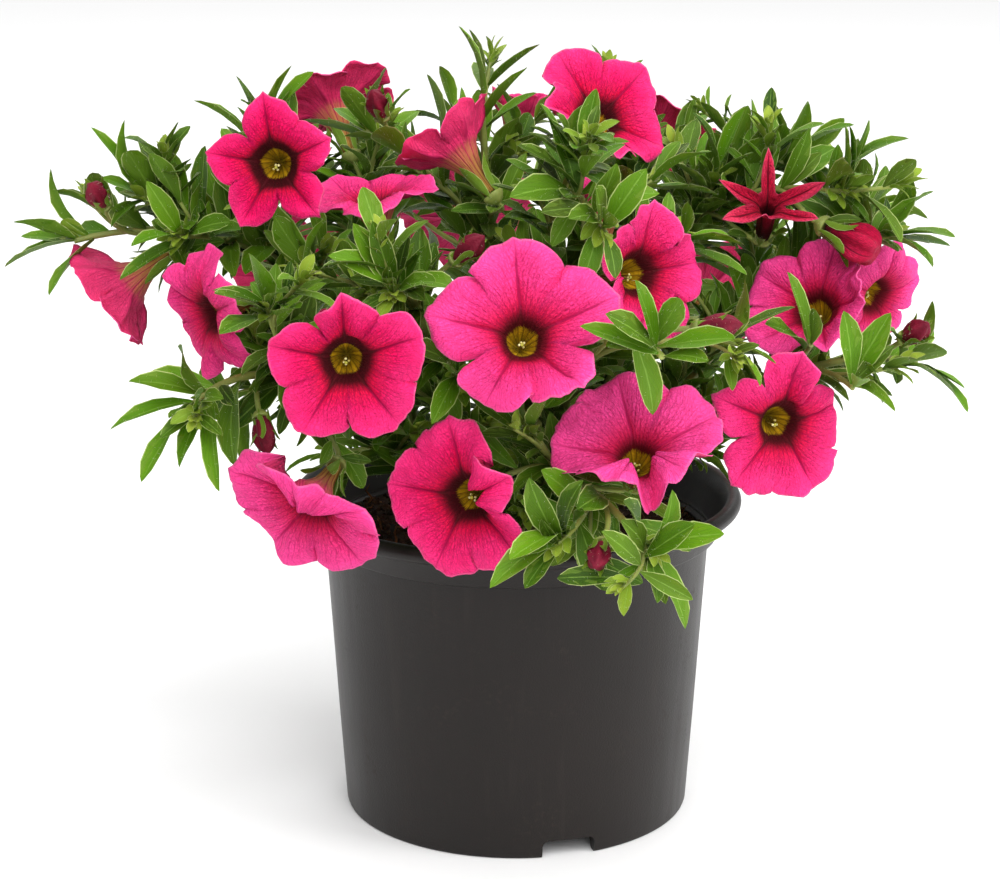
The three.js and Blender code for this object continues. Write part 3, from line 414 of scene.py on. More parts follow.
def buildPetalGroup():
    # The marks of a petal from its own map: U counts the five lobes, V runs from the throat to the rim
    group, given, result = newGroup(
        "petalMarks", "ShaderNodeTree",
        {"Dark Reach": ("NodeSocketFloat", 0.12), "Vein Count": ("NodeSocketFloat", 8)},
        {name: "NodeSocketFloat" for name in ("Veins", "Dark Star", "Halo", "Eye", "Limb", "Rays", "Rim")},
    )
    flowerMap, u, v = ownMap(group)
    own = attribute(group, "tint")
    fromVein = u.fromMiddle()
    limb = (v - limbFrom) / (1 - limbFrom)
    cloud = noiseValue(group, {"Scale": 900, "Detail": 2})
    bend, shiver = (
        noiseValue(group, {"Vector": flowerMap, "W": own * 40, "Scale": size, "Detail": detail},
                   noise_dimensions="4D")
        for size, detail in ((4.2, 1), (26, 2))
    )
    # The dark star is the petal's own dark colour on the limb, and painted shade where it runs on down inside
    # the mouth
    arm = maths(group, "EXPONENT", fromVein * -14)
    starEdge = arm * (own * -0.1 + 0.15) + given["Dark Reach"]
    pastStar = limb + (cloud * 0.12 - 0.06) - starEdge
    # Veins leave the mid-vein at a slant and fork as they run outwards, so twice as many lines join in twice
    scale = limb * 15 + 5.5
    side = fromVein - limb.atLeast(0) ** 1.4 * 0.24 + bend * limb * 0.22 + shiver * 0.028
    few, more, many = (
        nearLines(side, given["Vein Count"] * times, scale, thin, thick)
        for times, thin, thick in ((1, 0.05, 0.24), (2, 0.03, 0.19), (4, 0.02, 0.15))
    )
    more = more * limb.ramped(0.18, 0.45, 0.0, 0.85)
    many = many * limb.ramped(0.45, 0.75, 0.0, 0.6)
    lines = few.atLeast(more.atLeast(many)) * shiver.ramped(0.34, 0.6, 0.15, 1.0)
    # A faint net joins them up
    cells = addNode(group, "ShaderNodeCombineXYZ", {0: side * 2.2, 1: shiver * 0.05 + limb}).outputs[0]
    net = addNode(group, "ShaderNodeTexVoronoi", {"Vector": cells, "Scale": 13}, feature="DISTANCE_TO_EDGE")
    net = (1 - Value(group, net.outputs["Distance"]).ramped(0.0, 0.12)) * 0.62
    lines = lines.atLeast(net) * limb.ramped(1.1, 0.35, 0.45, 1.0)
    thickness = limb.ramped(0.2, 1.0, 0.55, 0.2)
    middle = 1 - (fromVein * scale / thickness).ramped(0.15, 1.0)
    middle = middle * limb.ramped(1.05, 0.5, 0.4, 1.2)
    # The eye's edge has five scallops, and it is lined by fine uneven rays
    scallop = maths(group, "COSINE", u * 6.2832) * 0.008 + v + (shiver * 0.09 - 0.045)
    marks = {
        "Veins": middle.atLeast(lines),
        "Dark Star": 1 - pastStar.ramped(-0.1, 0.14),
        "Halo": 1 - pastStar.ramped(-0.02, 0.56),
        "Eye": 1 - scallop.ramped(0.135, 0.165),
        "Limb": limb,
        "Rays": nearLines(shiver * 0.07 + u, 3, 4.2, 0.02, 0.22),
        "Rim": (cloud * 0.03 + limb).ramped(0.975, 1.0),
    }
    for title, value in marks.items():
        connect(group, value, result[title])
    return group


groups = {"mottle": buildMottleGroup(), "petal": buildPetalGroup()}


def useGroup(tree, name, **inputs):
    node = addNode(tree, "ShaderNodeGroup", node_tree=groups[name])
    for title, value in spaced(inputs).items():
        connect(tree, value, node.inputs[title])
    return {socket.name: Value(tree, socket) for socket in node.outputs}


def newMaterial(name, roughness, specular=0.5, **settings):
    # Further settings are values for the shader's sockets
    material = bpy.data.materials.new(name)
    material.use_nodes = True
    tree = material.node_tree
    shader = tree.nodes["Principled BSDF"]
    settings.update({"Roughness": roughness, "Specular_IOR_Level": specular})
    for title, value in spaced(settings).items():
        shader.inputs[title].default_value = value
    return material, tree, shader


def paint(tree, shader, colour, height, distance, strength):
    # Links the finished colour and relief to the shader
    connect(tree, colour, shader.inputs["Base Color"])
    inputs = {"Height": height, "Distance": distance, "Strength": strength}
    connect(tree, addNode(tree, "ShaderNodeBump", inputs).outputs[0], shader.inputs["Normal"])


petalDepth = {"Subsurface_Weight": 0.06, "Subsurface_Radius": (0.004, 0.001, 0.0015), "Subsurface_Scale": 0.3}
leafDepth = {"Subsurface_Weight": 0.05, "Subsurface_Radius": (0.001, 0.002, 0.0005), "Subsurface_Scale": 0.3}


def petalMaterial(name, faces, veinColour, veinDepth, halo, darkReach, hasEye=False):
    material, tree, shader = newMaterial(name, 0.72, 0.14, **petalDepth)
    own = attribute(tree, "tint")
    marks = useGroup(tree, "petal", Dark_Reach=own * -0.1 + darkReach)
    cloud = useGroup(tree, "mottle", Patch_Size=0.006, Grain_Size=0.0005)
    share = own + (cloud["Patches"] * 0.5 - 0.25) + marks["Limb"].ramped(0.4, 1.0) * 0.24
    # The halo round the throat, the veins, the dark star in the throat, which is painted shade where it runs
    # on inside the mouth, and the pale rim
    colour = layered(
        tree, mixed(tree, share.clamped(), *faces),
        (marks["Halo"] * 0.9, halo),
        (marks["Veins"] * veinDepth, mixed(tree, own, veinColour, "9c0846")),
        (marks["Dark Star"], mixed(tree, own, "3c020a", "5a0612")),
        (marks["Rim"] * 0.2, "ff9cc8"),
    )
    if hasEye:
        # The eye is ochre, painted darker olive deeper in the throat as shade there, and lined with dark rays
        yellow = mixed(tree, marks["Limb"].ramped(-0.33, -0.16), "6c5a0a", "b48c10")
        yellow = mixed(tree, marks["Rays"] * 0.6, yellow, "4a2c08")
        colour = mixed(tree, marks["Eye"], colour, yellow)
    paint(tree, shader, colour, cloud["Grain"] - marks["Veins"] * 0.8, 0.00035, 0.9)
    return material


def petalBackMaterial():
    material, tree, shader = newMaterial("petalBack", 0.7, 0.16, **petalDepth)
    marks = useGroup(tree, "petal")
    cloud = useGroup(tree, "mottle", Patch_Size=0.005, Grain_Size=0.0005)
    share = attribute(tree, "tint") + (cloud["Patches"] * 0.5 - 0.2)
    # Darker veins, and a tube that is yellowish green at its foot and striped towards the limb
    colour = layered(
        tree, mixed(tree, share.clamped(), "d00c4c", "e8447e"),
        (marks["Veins"] * 0.5, "860838"),
        (1 - marks["Limb"].ramped(-0.3, 0.12), mixed(tree, marks["Rays"], "b08a3c", "7c2430")),
    )
    paint(tree, shader, colour, marks["Veins"] + cloud["Grain"], 0.0002, 0.8)
    return material


def leafMaterial():
    # A leaf's map runs across it and along it from 0 to 1, and its under side lies past 1 across
    material, tree, shader = newMaterial("leaf", 0.54, 0.2, **leafDepth)
    _, u, v = ownMap(tree)
    across = u.fromMiddle()
    cloud = useGroup(tree, "mottle", Patch_Size=0.009, Grain_Size=0.0004)
    # Each leaf's light value is painted light and shade over the whole leaf, with uneven patches
    light = attribute(tree, "light") + (cloud["Patches"] * 0.5 - 0.25)
    # Side veins slant from the midrib to the edge
    veins = (v * 9 - across * 7).fromMiddle().ramped(0.09, 0.0)
    # The green runs from dark to light as painted light and shade; young leaves are yellower; then come the
    # veins, the midrib, the under side and the pale margin
    colour = layered(
        tree, mixed(tree, light.clamped(), "1e3a03", "548404"),
        (attribute(tree, "youth"), "98aa36"),
        (veins * 0.14, "8fae4a"),
        (across.ramped(0.045, 0.012) * 0.45, "84a844"),
        (maths(tree, "GREATER_THAN", u, 1.0) * 0.4, "6a8a2c"),
        (across.ramped(0.445, 0.488) * 0.75, "c4d284"),
    )
    paint(tree, shader, colour, cloud["Grain"] * 0.8 - veins * 0.6, 0.0002, 0.7)
    return material


def stemMaterial():
    # Green with a touch of purple here and there
    material, tree, shader = newMaterial("stem", 0.55, 0.35, Subsurface_Weight=0.05)
    cloud = useGroup(tree, "mottle", Patch_Size=0.012, Grain_Size=0.0005, Stretch=(1, 1, 0.5))
    patches = cloud["Patches"]
    colour = mixed(tree, patches.ramped(0.35, 0.7), "71863a", "94a04e")
    colour = mixed(tree, patches.ramped(0.62, 0.5) * 0.25, colour, "6c4a3a")
    paint(tree, shader, colour, cloud["Grain"], 0.0002, 0.7)
    return material


def plainMaterial(name, low, high, roughness, patch, grain, depth, specular=0.5):
    # Between two colours, in patches and grains of the given sizes, with a relief of the given depth
    material, tree, shader = newMaterial(name, roughness, specular)
    cloud = useGroup(tree, "mottle", Patch_Size=patch, Grain_Size=grain)
    colour = mixed(tree, cloud["Patches"].ramped(0.35, 0.65), low, high)
    paint(tree, shader, colour, cloud["Grain"], depth, 0.8)
    return material


def budMaterial():
    material, tree, shader = newMaterial("bud", 0.6, 0.2)
    cloud = useGroup(tree, "mottle", Patch_Size=0.002, Grain_Size=0.0004)
    paint(tree, shader, mixed(tree, cloud["Patches"], "44061a", "86122e"), cloud["Grain"], 0.0003, 0.8)
    return material


def potMaterial():
    # Moulded plastic: a fine satin grain, faint streaks up the wall and a little soil dust
    material, tree, shader = newMaterial("potPlastic", 0.42, 0.27)
    fine = useGroup(tree, "mottle", Patch_Size=0.03, Grain_Size=0.0004)
    streaks = useGroup(tree, "mottle", Patch_Size=0.004, Grain_Size=0.002, Stretch=(1, 1, 0.06))["Patches"]
    dust = useGroup(tree, "mottle", Patch_Size=0.011, Grain_Size=0.0012)
    dusty = dust["Patches"].ramped(0.5, 0.8) * dust["Grain"].ramped(0.5, 0.7)
    colour = layered(
        tree, mixed(tree, fine["Patches"], "120e0c", "191310"),
        (streaks.ramped(0.55, 0.75, 0.0, 0.12), "3c3530"),
        (dusty * 0.1, "5c4f43"),
    )
    connect(tree, dusty * 0.2 + (streaks * 0.16 + 0.34), shader.inputs["Roughness"])
    paint(tree, shader, colour, streaks * 0.5 + fine["Grain"], 0.0001, 0.5)
    return material


materials = {
    "petal": petalMaterial("petalFront", ("e20058", "f84898"), "7c0238", 0.66, "cc0030", 0.07, True),
    "petalBack": petalBackMaterial(),
    "youngPetal": petalMaterial("youngPetal", ("cc0c40", "ee5a88"), "6a0828", 0.8, "9c0628", -0.15),
    "starPetal": petalMaterial("starPetal", ("c8103c", "ee5a80"), "5a0218", 0.9, "b40a2c", -0.12),
    "leaf": leafMaterial(),
    "stem": stemMaterial(),
    "bud": budMaterial(),
    "anther": plainMaterial("anther", "a8953a", "ece2a4", 0.6, 0.001, 0.0002, 0.0001),
    "stigma": plainMaterial("stigma", "8f8c24", "b9b23a", 0.5, 0.001, 0.0002, 0.0001),
    "hair": plainMaterial("hair", "c8d0a0", "e4e6c8", 0.6, 0.004, 0.001, 0.00001),
    "soil": plainMaterial("soil", "1c110b", "3a261a", 0.95, 0.005, 0.0008, 0.0012, 0.2),
    "crumb": plainMaterial("soilCrumb", "20140d", "55392a", 0.95, 0.006, 0.0006, 0.0006, 0.2),
    "fibre": plainMaterial("soilFibre", "4a2c1a", "8a5a38", 0.9, 0.006, 0.0006, 0.0002, 0.2),
    "pot": potMaterial(),
}
print("materials ready:", len(materials))


# Finished pieces are plain meshes at the origin, with their place in the mesh

def inScene(name, data):
    thing = bpy.data.objects.new(name, data)
    bpy.context.scene.collection.objects.link(thing)
    return thing


def newPiece(name, mesh, replaced=(), materialNames=()):
    piece = inScene(name, mesh)
    for title in materialNames:
        mesh.materials.append(materials[title])
    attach(piece, "root")
    if replaced:
        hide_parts(*replaced)


def meshFrom(name, points, faces, maps=None, indices=None):
    # Maps holds the map's corners face by face, and indices the number of each face's material
    mesh = bpy.data.meshes.new(name)
    mesh.from_pydata([tuple(p) for p in points], [], faces)
    if maps:
        layer = mesh.uv_layers.new(name="UVMap")
        layer.data.foreach_set("uv", [c for face in maps for uv in face for c in uv])
    if indices:
        mesh.polygons.foreach_set("material_index", indices)
    mesh.polygons.foreach_set("use_smooth", [True] * len(mesh.polygons))
    mesh.update()
    return mesh


def meshOf(thing, name):
    # What an object's modifiers make of it, as a plain mesh
    depsgraph = bpy.context.evaluated_depsgraph_get()
    mesh = bpy.data.meshes.new_from_object(thing.evaluated_get(depsgraph))
    mesh.name = name
    return mesh


def grown(carrierMesh, tree, inputs, name):
    # What a geometry node tree makes of a mesh
    carrier = inScene("carrier", carrierMesh)
    modifier = carrier.modifiers.new("grow", "NODES")
    modifier.node_group = tree
    for socket in tree.interface.items_tree:
        if socket.in_out == "INPUT" and socket.name in inputs:
            modifier[socket.identifier] = inputs[socket.name]
    mesh = meshOf(carrier, name)
    bpy.data.objects.remove(carrier)
    return mesh


def joined(name, meshes):
    # Several meshes as one, with each one's own materials kept
    holders = [inScene("holder", mesh) for mesh in meshes]
    target = holders[0]
    with bpy.context.temp_override(active_object=target, object=target, selected_editable_objects=holders):
        bpy.ops.object.join()
    mesh = target.data
    bpy.data.objects.remove(target)
    mesh.name = name
    return mesh


def polar(radius, angle, z=0.0):
    return Vector((radius * math.cos(angle), radius * math.sin(angle), z))


def easing(low, high, value):
    share = min(max((value - low) / (high - low), 0.0), 1.0)
    return share * share * (3 - 2 * share)


def skin(rings, heights=None, around=1):
    # Points, faces and map of the surface through rings of one count, where a single point is a pole
    points = [p for ring in rings for p in ring]
    starts = [sum(len(ring) for ring in rings[:i]) for i in range(len(rings))]
    heights = heights or [i / (len(rings) - 1) for i in range(len(rings))]
    faces, maps = [], []
    for i in range(len(rings) - 1):
        a, b = starts[i], starts[i + 1]
        low, high = heights[i], heights[i + 1]
        count = max(len(rings[i]), len(rings[i + 1]))
        for k in range(count):
            n = (k + 1) % count
            u, w = around * k / count, around * (k + 1) / count
            if len(rings[i]) == 1:
                faces.append((a, b + n, b + k))
                maps.append(((u, low), (w, high), (u, high)))
            elif len(rings[i + 1]) == 1:
                faces.append((a + k, a + n, b))
                maps.append(((u, low), (w, low), (u, high)))
            else:
                faces.append((a + k, a + n, b + n, b + k))
                maps.append(((u, low), (w, low), (w, high), (u, high)))
    return points, faces, maps


def ringsOf(profile, count, turn=0.0, scale=1.0):
    # Rings round Z through a profile of (radius, height), where a radius of 0 is a pole
    rings = []
    for radius, z in profile:
        spots = range(count) if radius else [0]
        angles = [2 * math.pi * k / count + math.radians(turn) for k in spots]
        rings.append([polar(radius * scale, angle, z * scale) for angle in angles])
    return rings


# The pot is one turned wall with a rolled lip, and its foot is cut by notches and drain holes

potSizes = {
    "segments": 160, "lipCentre": (50.7, 74.2), "lipRadius": 1.8, "lipSteps": 10, "sharpAngle": 40,
    "cuts": 3, "cutTurn": 17, "cutFrom": -2, "notchWidth": 12.5, "notchHeight": 4.2, "notchCorner": 1.5,
    "cornerSteps": 5, "notchReach": (34.6, 46.6), "drainRadius": 4, "drainAt": 29.6, "drainTo": 8,
    "drainSides": 24,
    "outside": [
        (0, 0), (19.4, 0), (19.9, 0.15), (20.2, 0.5), (21.1, 3.9), (21.5, 4.3), (22, 4.4), (35.6, 4.4),
        (36.1, 4.25), (36.4, 3.9), (37.6, 0.5), (37.9, 0.12), (38.3, 0), (39.8, 0), (40.35, 0.25),
        (40.6, 0.9), (42.1, 22.7), (43.5, 44.4), (44.95, 66), (45.15, 66.5), (46.7, 66.7), (47.15, 66.9),
        (47.35, 67.3), (49.1, 71.8), (49.5, 72.25), (50, 72.4),
    ],
    "inside": [
        (50.2, 76), (49.6, 75.85), (49.2, 75.4), (48, 72.2), (46, 67), (45.6, 66.5), (44.2, 66.1),
        (43.75, 65.6), (39.85, 6.3), (39.5, 5.8), (39, 5.7), (21.2, 5.7), (20.6, 5.5), (20.2, 5),
        (19.2, 1.7), (18.8, 1.35), (18.2, 1.3), (0, 1.3),
    ],
}


def arc(centre, radius, steps, start, sweep):
    # Points of a part of a circle, with its angles in degrees
    angles = [math.radians(start + sweep * i / steps) for i in range(steps + 1)]
    return [(centre[0] + radius * math.cos(a), centre[1] + radius * math.sin(a)) for a in angles]


def notchMesh(sizes):
    # A straight bar along X, round at its two upper edges
    half, corner = sizes["notchWidth"] / 2, sizes["notchCorner"]
    outline = [(-half, sizes["cutFrom"]), (half, sizes["cutFrom"])]
    for side, start in ((1, 0), (-1, 90)):
        centre = (side * (half - corner), sizes["notchHeight"] - corner)
        outline += arc(centre, corner, sizes["cornerSteps"], start, 90)
    count = len(outline)
    points = [Vector((x, y, z)) * mm for x in sizes["notchReach"] for y, z in outline]
    faces = [tuple(reversed(range(count))), tuple(range(count, 2 * count))]
    faces += [(k, (k + 1) % count, count + (k + 1) % count, count + k) for k in range(count)]
    return points, faces


def drainMesh(sizes):
    radius, low, high = sizes["drainRadius"], sizes["cutFrom"], sizes["drainTo"]
    rings = ringsOf([(0, low), (radius, low), (radius, high), (0, high)], sizes["drainSides"], scale=mm)
    points, faces, _ = skin(rings)
    return [p + Vector((sizes["drainAt"] * mm, 0, 0)) for p in points], faces


def buildPot():
    sizes = potSizes
    lip = arc(sizes["lipCentre"], sizes["lipRadius"], sizes["lipSteps"], -90, 180)
    profile = sizes["outside"] + lip + sizes["inside"]
    wall = inScene("potWall", meshFrom("potWall", *skin(ringsOf(profile, sizes["segments"], scale=mm))))
    points, faces = [], []
    for i in range(sizes["cuts"]):
        turn = Matrix.Rotation(math.radians(sizes["cutTurn"] + 360 / sizes["cuts"] * i - 90), 3, "Z")
        for somePoints, someFaces in (notchMesh(sizes), drainMesh(sizes)):
            faces += [tuple(len(points) + k for k in face) for face in someFaces]
            points += [turn @ p for p in somePoints]
    cutter = inScene("cutter", meshFrom("cutter", points, faces))
    cut = wall.modifiers.new("cut", "BOOLEAN")
    cut.operation, cut.solver, cut.object = "DIFFERENCE", "EXACT", cutter
    mesh = meshOf(wall, "potShell")
    for one in (cutter, wall):
        bpy.data.objects.remove(one)
    mesh.materials.clear()
    mesh.set_sharp_from_angle(angle=math.radians(sizes["sharpAngle"]))
    newPiece("potShell", mesh, ["pot"], ["pot"])


buildPot()
print("pot ready")


# What is scattered over a surface, and what stands on given points

def shapesFor(name, meshes):
    # Kept in a collection of their own, outside the scene
    collection = bpy.data.collections.new(name)
    for i, mesh in enumerate(meshes):
        collection.objects.link(bpy.data.objects.new(f"{name}_{i}", mesh))
    return collection


def shapePicker(tree, collection):
    info = addNode(tree, "GeometryNodeCollectionInfo", {"Separate Children": True, "Reset Children": True})
    info.inputs["Collection"].default_value = collection
    return info.outputs[0]


def growingTree(name, **inputs):
    # A tree that works on a mesh; an input is a whole number where its default is one
    sockets = {"Geometry": ("NodeSocketGeometry", None)}
    for title, default in spaced(inputs).items():
        sockets[title] = ("NodeSocketInt" if isinstance(default, int) else "NodeSocketFloat", default)
    tree, given, result = newGroup(name, "GeometryNodeTree", sockets, {"Geometry": "NodeSocketGeometry"})
    tree.is_modifier = True
    return tree, given, result


def finishTree(tree, shapes, material, result):
    real = addNode(tree, "GeometryNodeRealizeInstances", {"Geometry": shapes}).outputs[0]
    finished = addNode(tree, "GeometryNodeSetMaterial", {"Geometry": real, "Material": material})
    connect(tree, finished.outputs[0], result["Geometry"])
    return tree


def instanced(tree, **inputs):
    return addNode(tree, "GeometryNodeInstanceOnPoints", spaced(inputs)).outputs[0]


def inUse(sockets, title=None):
    # A node may have a socket of each kind under one name, of which one is in use
    return next(s for s in sockets if s.enabled and title in (None, s.name))


def randomValue(tree, low, high, seed):
    node = addNode(tree, "FunctionNodeRandomValue", data_type="FLOAT")
    for title, value in {"Min": low, "Max": high, "Seed": seed}.items():
        connect(tree, value, inUse(node.inputs, title))
    return inUse(node.outputs)


def pointValue(tree, title, kind):
    node = addNode(tree, "GeometryNodeInputNamedAttribute", {"Name": title}, data_type=kind)
    return inUse(node.outputs)


def turnFrom(tree, angles):
    return addNode(tree, "FunctionNodeEulerToRotation", {0: angles}).outputs[0]


def scatterTree(name, collection, material):
    # Shapes of random size and turn, as many to a square metre as Density says, on what faces up enough
    tree, given, result = growingTree(
        name, Density=1e5, Smallest=0.0005, Largest=0.002, Facing_Up=0.4, Seed=1)
    normal = addNode(tree, "ShaderNodeSeparateXYZ", {0: addNode(tree, "GeometryNodeInputNormal").outputs[0]})
    inputs = {
        "Mesh": given["Geometry"], "Density": given["Density"], "Seed": given["Seed"],
        "Selection": maths(tree, "GREATER_THAN", normal.outputs[2], given["Facing Up"]),
    }
    spots = addNode(tree, "GeometryNodeDistributePointsOnFaces", inputs)
    turns = addNode(tree, "FunctionNodeRandomValue", data_type="FLOAT_VECTOR")
    turns.inputs[1].default_value = (2, 2, 6.28)
    connect(tree, given["Seed"], turns.inputs["Seed"])
    shapes = instanced(
        tree, Points=spots.outputs["Points"], Instance=shapePicker(tree, collection), Pick_Instance=True,
        Rotation=turnFrom(tree, turns.outputs[0]),
        Scale=randomValue(tree, given["Smallest"], given["Largest"], given["Seed"]),
    )
    return finishTree(tree, shapes, material, result)


def sproutTree(name, collection, material):
    # One shape on each point, as the point's own turn, size and shape say
    tree, given, result = growingTree(name, Growth=1.0)
    inputs = {0: pointValue(tree, "size", "FLOAT_VECTOR"), "Scale": given["Growth"]}
    size = addNode(tree, "ShaderNodeVectorMath", inputs, operation="SCALE").outputs[0]
    shapes = instanced(
        tree, Points=given["Geometry"], Instance=shapePicker(tree, collection), Pick_Instance=True,
        Instance_Index=pointValue(tree, "shape", "INT"),
        Rotation=turnFrom(tree, pointValue(tree, "turn", "FLOAT_VECTOR")), Scale=size,
    )
    return finishTree(tree, shapes, material, result)


def sprout(start, chord, face, length, width, shape, light=0.5, youth=0.0):
    # Along chord, its upper side towards face: lengths in millimetres, start in metres
    # light is painted light and shade, from shaded at 0 to lit at 1
    chord = chord.normalized()
    side = chord.cross(face).normalized()
    turn = Matrix((side, chord, side.cross(chord))).transposed().to_euler()
    return {
        "start": start, "turn": tuple(turn), "size": (width * mm, length * mm, length * mm),
        "shape": shape, "light": light, "youth": youth,
    }


def sprouted(name, tree, sprouts):
    carrier = bpy.data.meshes.new(name)
    carrier.from_pydata([tuple(one["start"]) for one in sprouts], [], [])
    for title in ("turn", "size"):
        layer = carrier.attributes.new(title, "FLOAT_VECTOR", "POINT")
        layer.data.foreach_set("vector", [c for one in sprouts for c in one[title]])
    for title, kind in (("shape", "INT"), ("light", "FLOAT"), ("youth", "FLOAT")):
        layer = carrier.attributes.new(title, kind, "POINT")
        layer.data.foreach_set("value", [one[title] for one in sprouts])
    return grown(carrier, tree, {"Growth": 1.0}, name)


# The soil is a lumpy root ball with crumbs and bark fibres on its top

soilSizes = {
    "segments": 112, "topRings": 26, "radius": 43.2, "top": 66, "mound": 1.4, "lump": 1.1, "lumpSize": 7,
    "smallLump": 2.6, "foot": [(0, 1.7), (17.9, 1.7), (19.6, 6.1), (39, 6.1), (43.1, 64.5)],
    "shapes": 5,
    "crumbs": {"Density": 3.2e5, "Smallest": 0.0008, "Largest": 0.0028, "Seed": 3},
    "fibres": {"Density": 2.6e4, "Smallest": 0.004, "Largest": 0.011, "Seed": 8},
}


def crumbMesh(seed):
    bm = bmesh.new()
    bmesh.ops.create_icosphere(bm, subdivisions=1, radius=0.5)
    for vert in bm.verts:
        vert.co *= 0.8 + 0.45 * noise.noise(vert.co * 2.4 + Vector((seed * 5.1, 0, 0)))
        vert.co.z *= 0.75
    mesh = bpy.data.meshes.new(f"crumb_{seed}")
    bm.to_mesh(mesh)
    bm.free()
    return mesh


def fibreMesh(seed):
    # A bent splinter of bark, three-sided and pointed at both ends
    rng = random.Random(40 + seed)
    bend = [rng.uniform(-0.12, 0.12) for _ in range(4)]
    rings = [[Vector((-0.5, 0, 0))]]
    for i in range(1, 5):
        middle = Vector((i / 5 - 0.5, bend[i - 1], bend[i - 2] * 0.5))
        radius = 0.045 * (1 - abs(i / 5 - 0.5))
        corners = [polar(radius, 2.1 * k) for k in range(3)]
        rings.append([middle + Vector((0, p.x, p.y)) for p in corners])
    rings.append([Vector((0.5, 0, 0))])
    return meshFrom(f"fibre_{seed}", *skin(rings))


def soilHeight(spot, share):
    # The height at a spot, where share is 1 at the wall of the pot and 0 in the middle
    sizes = soilSizes
    lump = noise.noise(spot / sizes["lumpSize"])
    lump += 0.5 * noise.noise(spot / sizes["smallLump"] + Vector((9, 4, 2)))
    mound = sizes["mound"] * (1 - share * share)
    return sizes["top"] + mound + sizes["lump"] * lump * min(1, 8 * (1 - share) + 0.2)


def buildSoil():
    sizes = soilSizes
    count = sizes["segments"]
    rings = ringsOf(sizes["foot"], count, scale=mm)
    for i in range(sizes["topRings"] + 1):
        share = 1 - i / (sizes["topRings"] + 1)
        angles = [2 * math.pi * (k + 0.5 * (i % 2)) / count for k in range(count)]
        spots = [polar(sizes["radius"] * share, angle) for angle in angles]
        rings.append([Vector((p.x, p.y, soilHeight(p, share))) * mm for p in spots])
    rings.append([Vector((0, 0, (sizes["top"] + sizes["mound"]) * mm))])
    ball = meshFrom("rootBall", *skin(rings))
    meshes = [ball]
    for name, oneMesh, material in (("crumbs", crumbMesh, "crumb"), ("fibres", fibreMesh, "fibre")):
        shapes = shapesFor(material + "Shape", [oneMesh(i) for i in range(sizes["shapes"])])
        meshes.append(grown(ball, scatterTree(name, shapes, materials[material]), sizes[name], name))
    ball.materials.append(materials["soil"])
    newPiece("rootBall", joined("rootBall", meshes), ["soil"])


buildSoil()
print("soil ready")


# A flower is one skin: up the tube, out along the back of the limb, round its rim and back into the throat

petalSizes = {
    "directions": 110, "limbRings": 20, "flare": 10, "throat": 4.4, "thick": 0.34, "thin": 0.15,
    "usualWidth": 32, "mouthHeight": 13, "puff": 1.9, "crease": 0.6, "creaseWidth": 0.05, "wave": 0.8,
    "roll": 1.7, "rollFrom": 0.8, "warp": 1.3, "ripple": 0.35, "tilt": 1.2, "overlap": 0.8, "lapAngle": 6,
    "lapWidth": 0.09, "lapsFrom": 0.62, "turnsBackBelow": 0.68, "turnBackWidth": 0.12, "throatDip": 1.5,
    "dipReach": 1.7, "uneven": 0.06, "cuspWidth": 0.05, "sinusReach": (0.64, 0.86),
    "waves": [((6, 9), 1), ((13, 18), 0.5)],
    "funnel": [(4.05, 11.0), (3.5, 10.0), (3.0, 8.8), (2.3, 7.4), (1.5, 6.0), (0.8, 5.1), (0, 4.7)],
    "tube": [(0, 0), (1.5, 0.15), (1.75, 2), (1.9, 4), (2.3, 6.2), (3.1, 8.2), (4.0, 9.8), (4.7, 11.1)],
    "narrowTube": 1.9, "narrowMouth": 1.6,
}
usualLimb = {
    "high": 1.03, "power": 0.44, "cusp": 0, "groove": 0.09, "ragged": 0.035, "turnBack": 2.4,
    "armSpread": 0, "sinus": None,
}
limbShapes = {
    "open": usualLimb,
    "pointed": {**usualLimb, "high": 1.04, "power": 0.62, "cusp": 0.05},
    "star": {
        "high": 1.02, "power": 4.6, "cusp": 0.12, "groove": 0.22, "ragged": 0, "turnBack": 0,
        "armSpread": 24, "sinus": 0.3,
    },
}


def curlOf(lobes, place):
    # The curl of a lobe, which turns into its neighbour's towards the sinus between them
    lobe = int(place) % 5
    phase = place - int(place)
    if phase < 0.5:
        return lobes[lobe - 1] + (lobes[lobe] - lobes[lobe - 1]) * (0.5 + 0.5 * easing(0, 0.25, phase))
    return lobes[lobe] + (lobes[(lobe + 1) % 5] - lobes[lobe]) * 0.5 * easing(0.75, 1, phase)


def bell(flower, share, at, reach):
    # 1 in the direction at, falling to 0 as far from it as reach says, in degrees
    apart = abs((360 * share + flower["turn"] - at + 180) % 360 - 180)
    return math.cos(math.pi / 2 * min(apart / reach, 1)) ** 2


def curlsAt(flower, share):
    # The slopes of the limb near the throat and farther out, in degrees, with the folds in that direction
    own = curlOf(flower["lobes"], 5 * share)
    inner, outer = petalSizes["flare"] + own / 3, petalSizes["flare"] + own
    for at, reach, addInner, addOuter in flower["folds"]:
        part = bell(flower, share, at, reach)
        inner += part * addInner
        outer += part * addOuter
    return inner, outer


def drawnLobes(flower, seed):
    # What differs from lobe to lobe, with the waves of the rim
    sizes = petalSizes
    rng = random.Random(500 + seed)
    five = range(5)
    return {
        "waves": [(rng.randint(*counts), rng.uniform(0, 6.28), part) for counts, part in sizes["waves"]],
        "rolls": [sizes["roll"] * rng.uniform(0, 1) for _ in five],
        "tilts": [sizes["tilt"] * rng.uniform(-1, 1) for _ in five],
        "cusps": [rng.uniform(0, 0.06) + limbShapes[flower["shape"]]["cusp"] for _ in five],
        "laps": flower["laps"] or [rng.choice((-1, 1)) * rng.uniform(0.5, 1) for _ in five],
        "sinuses": flower["sinuses"] or [rng.uniform(*sizes["sinusReach"]) for _ in five],
        "tips": [rng.uniform(0.95, 1.03) for _ in five],
    }


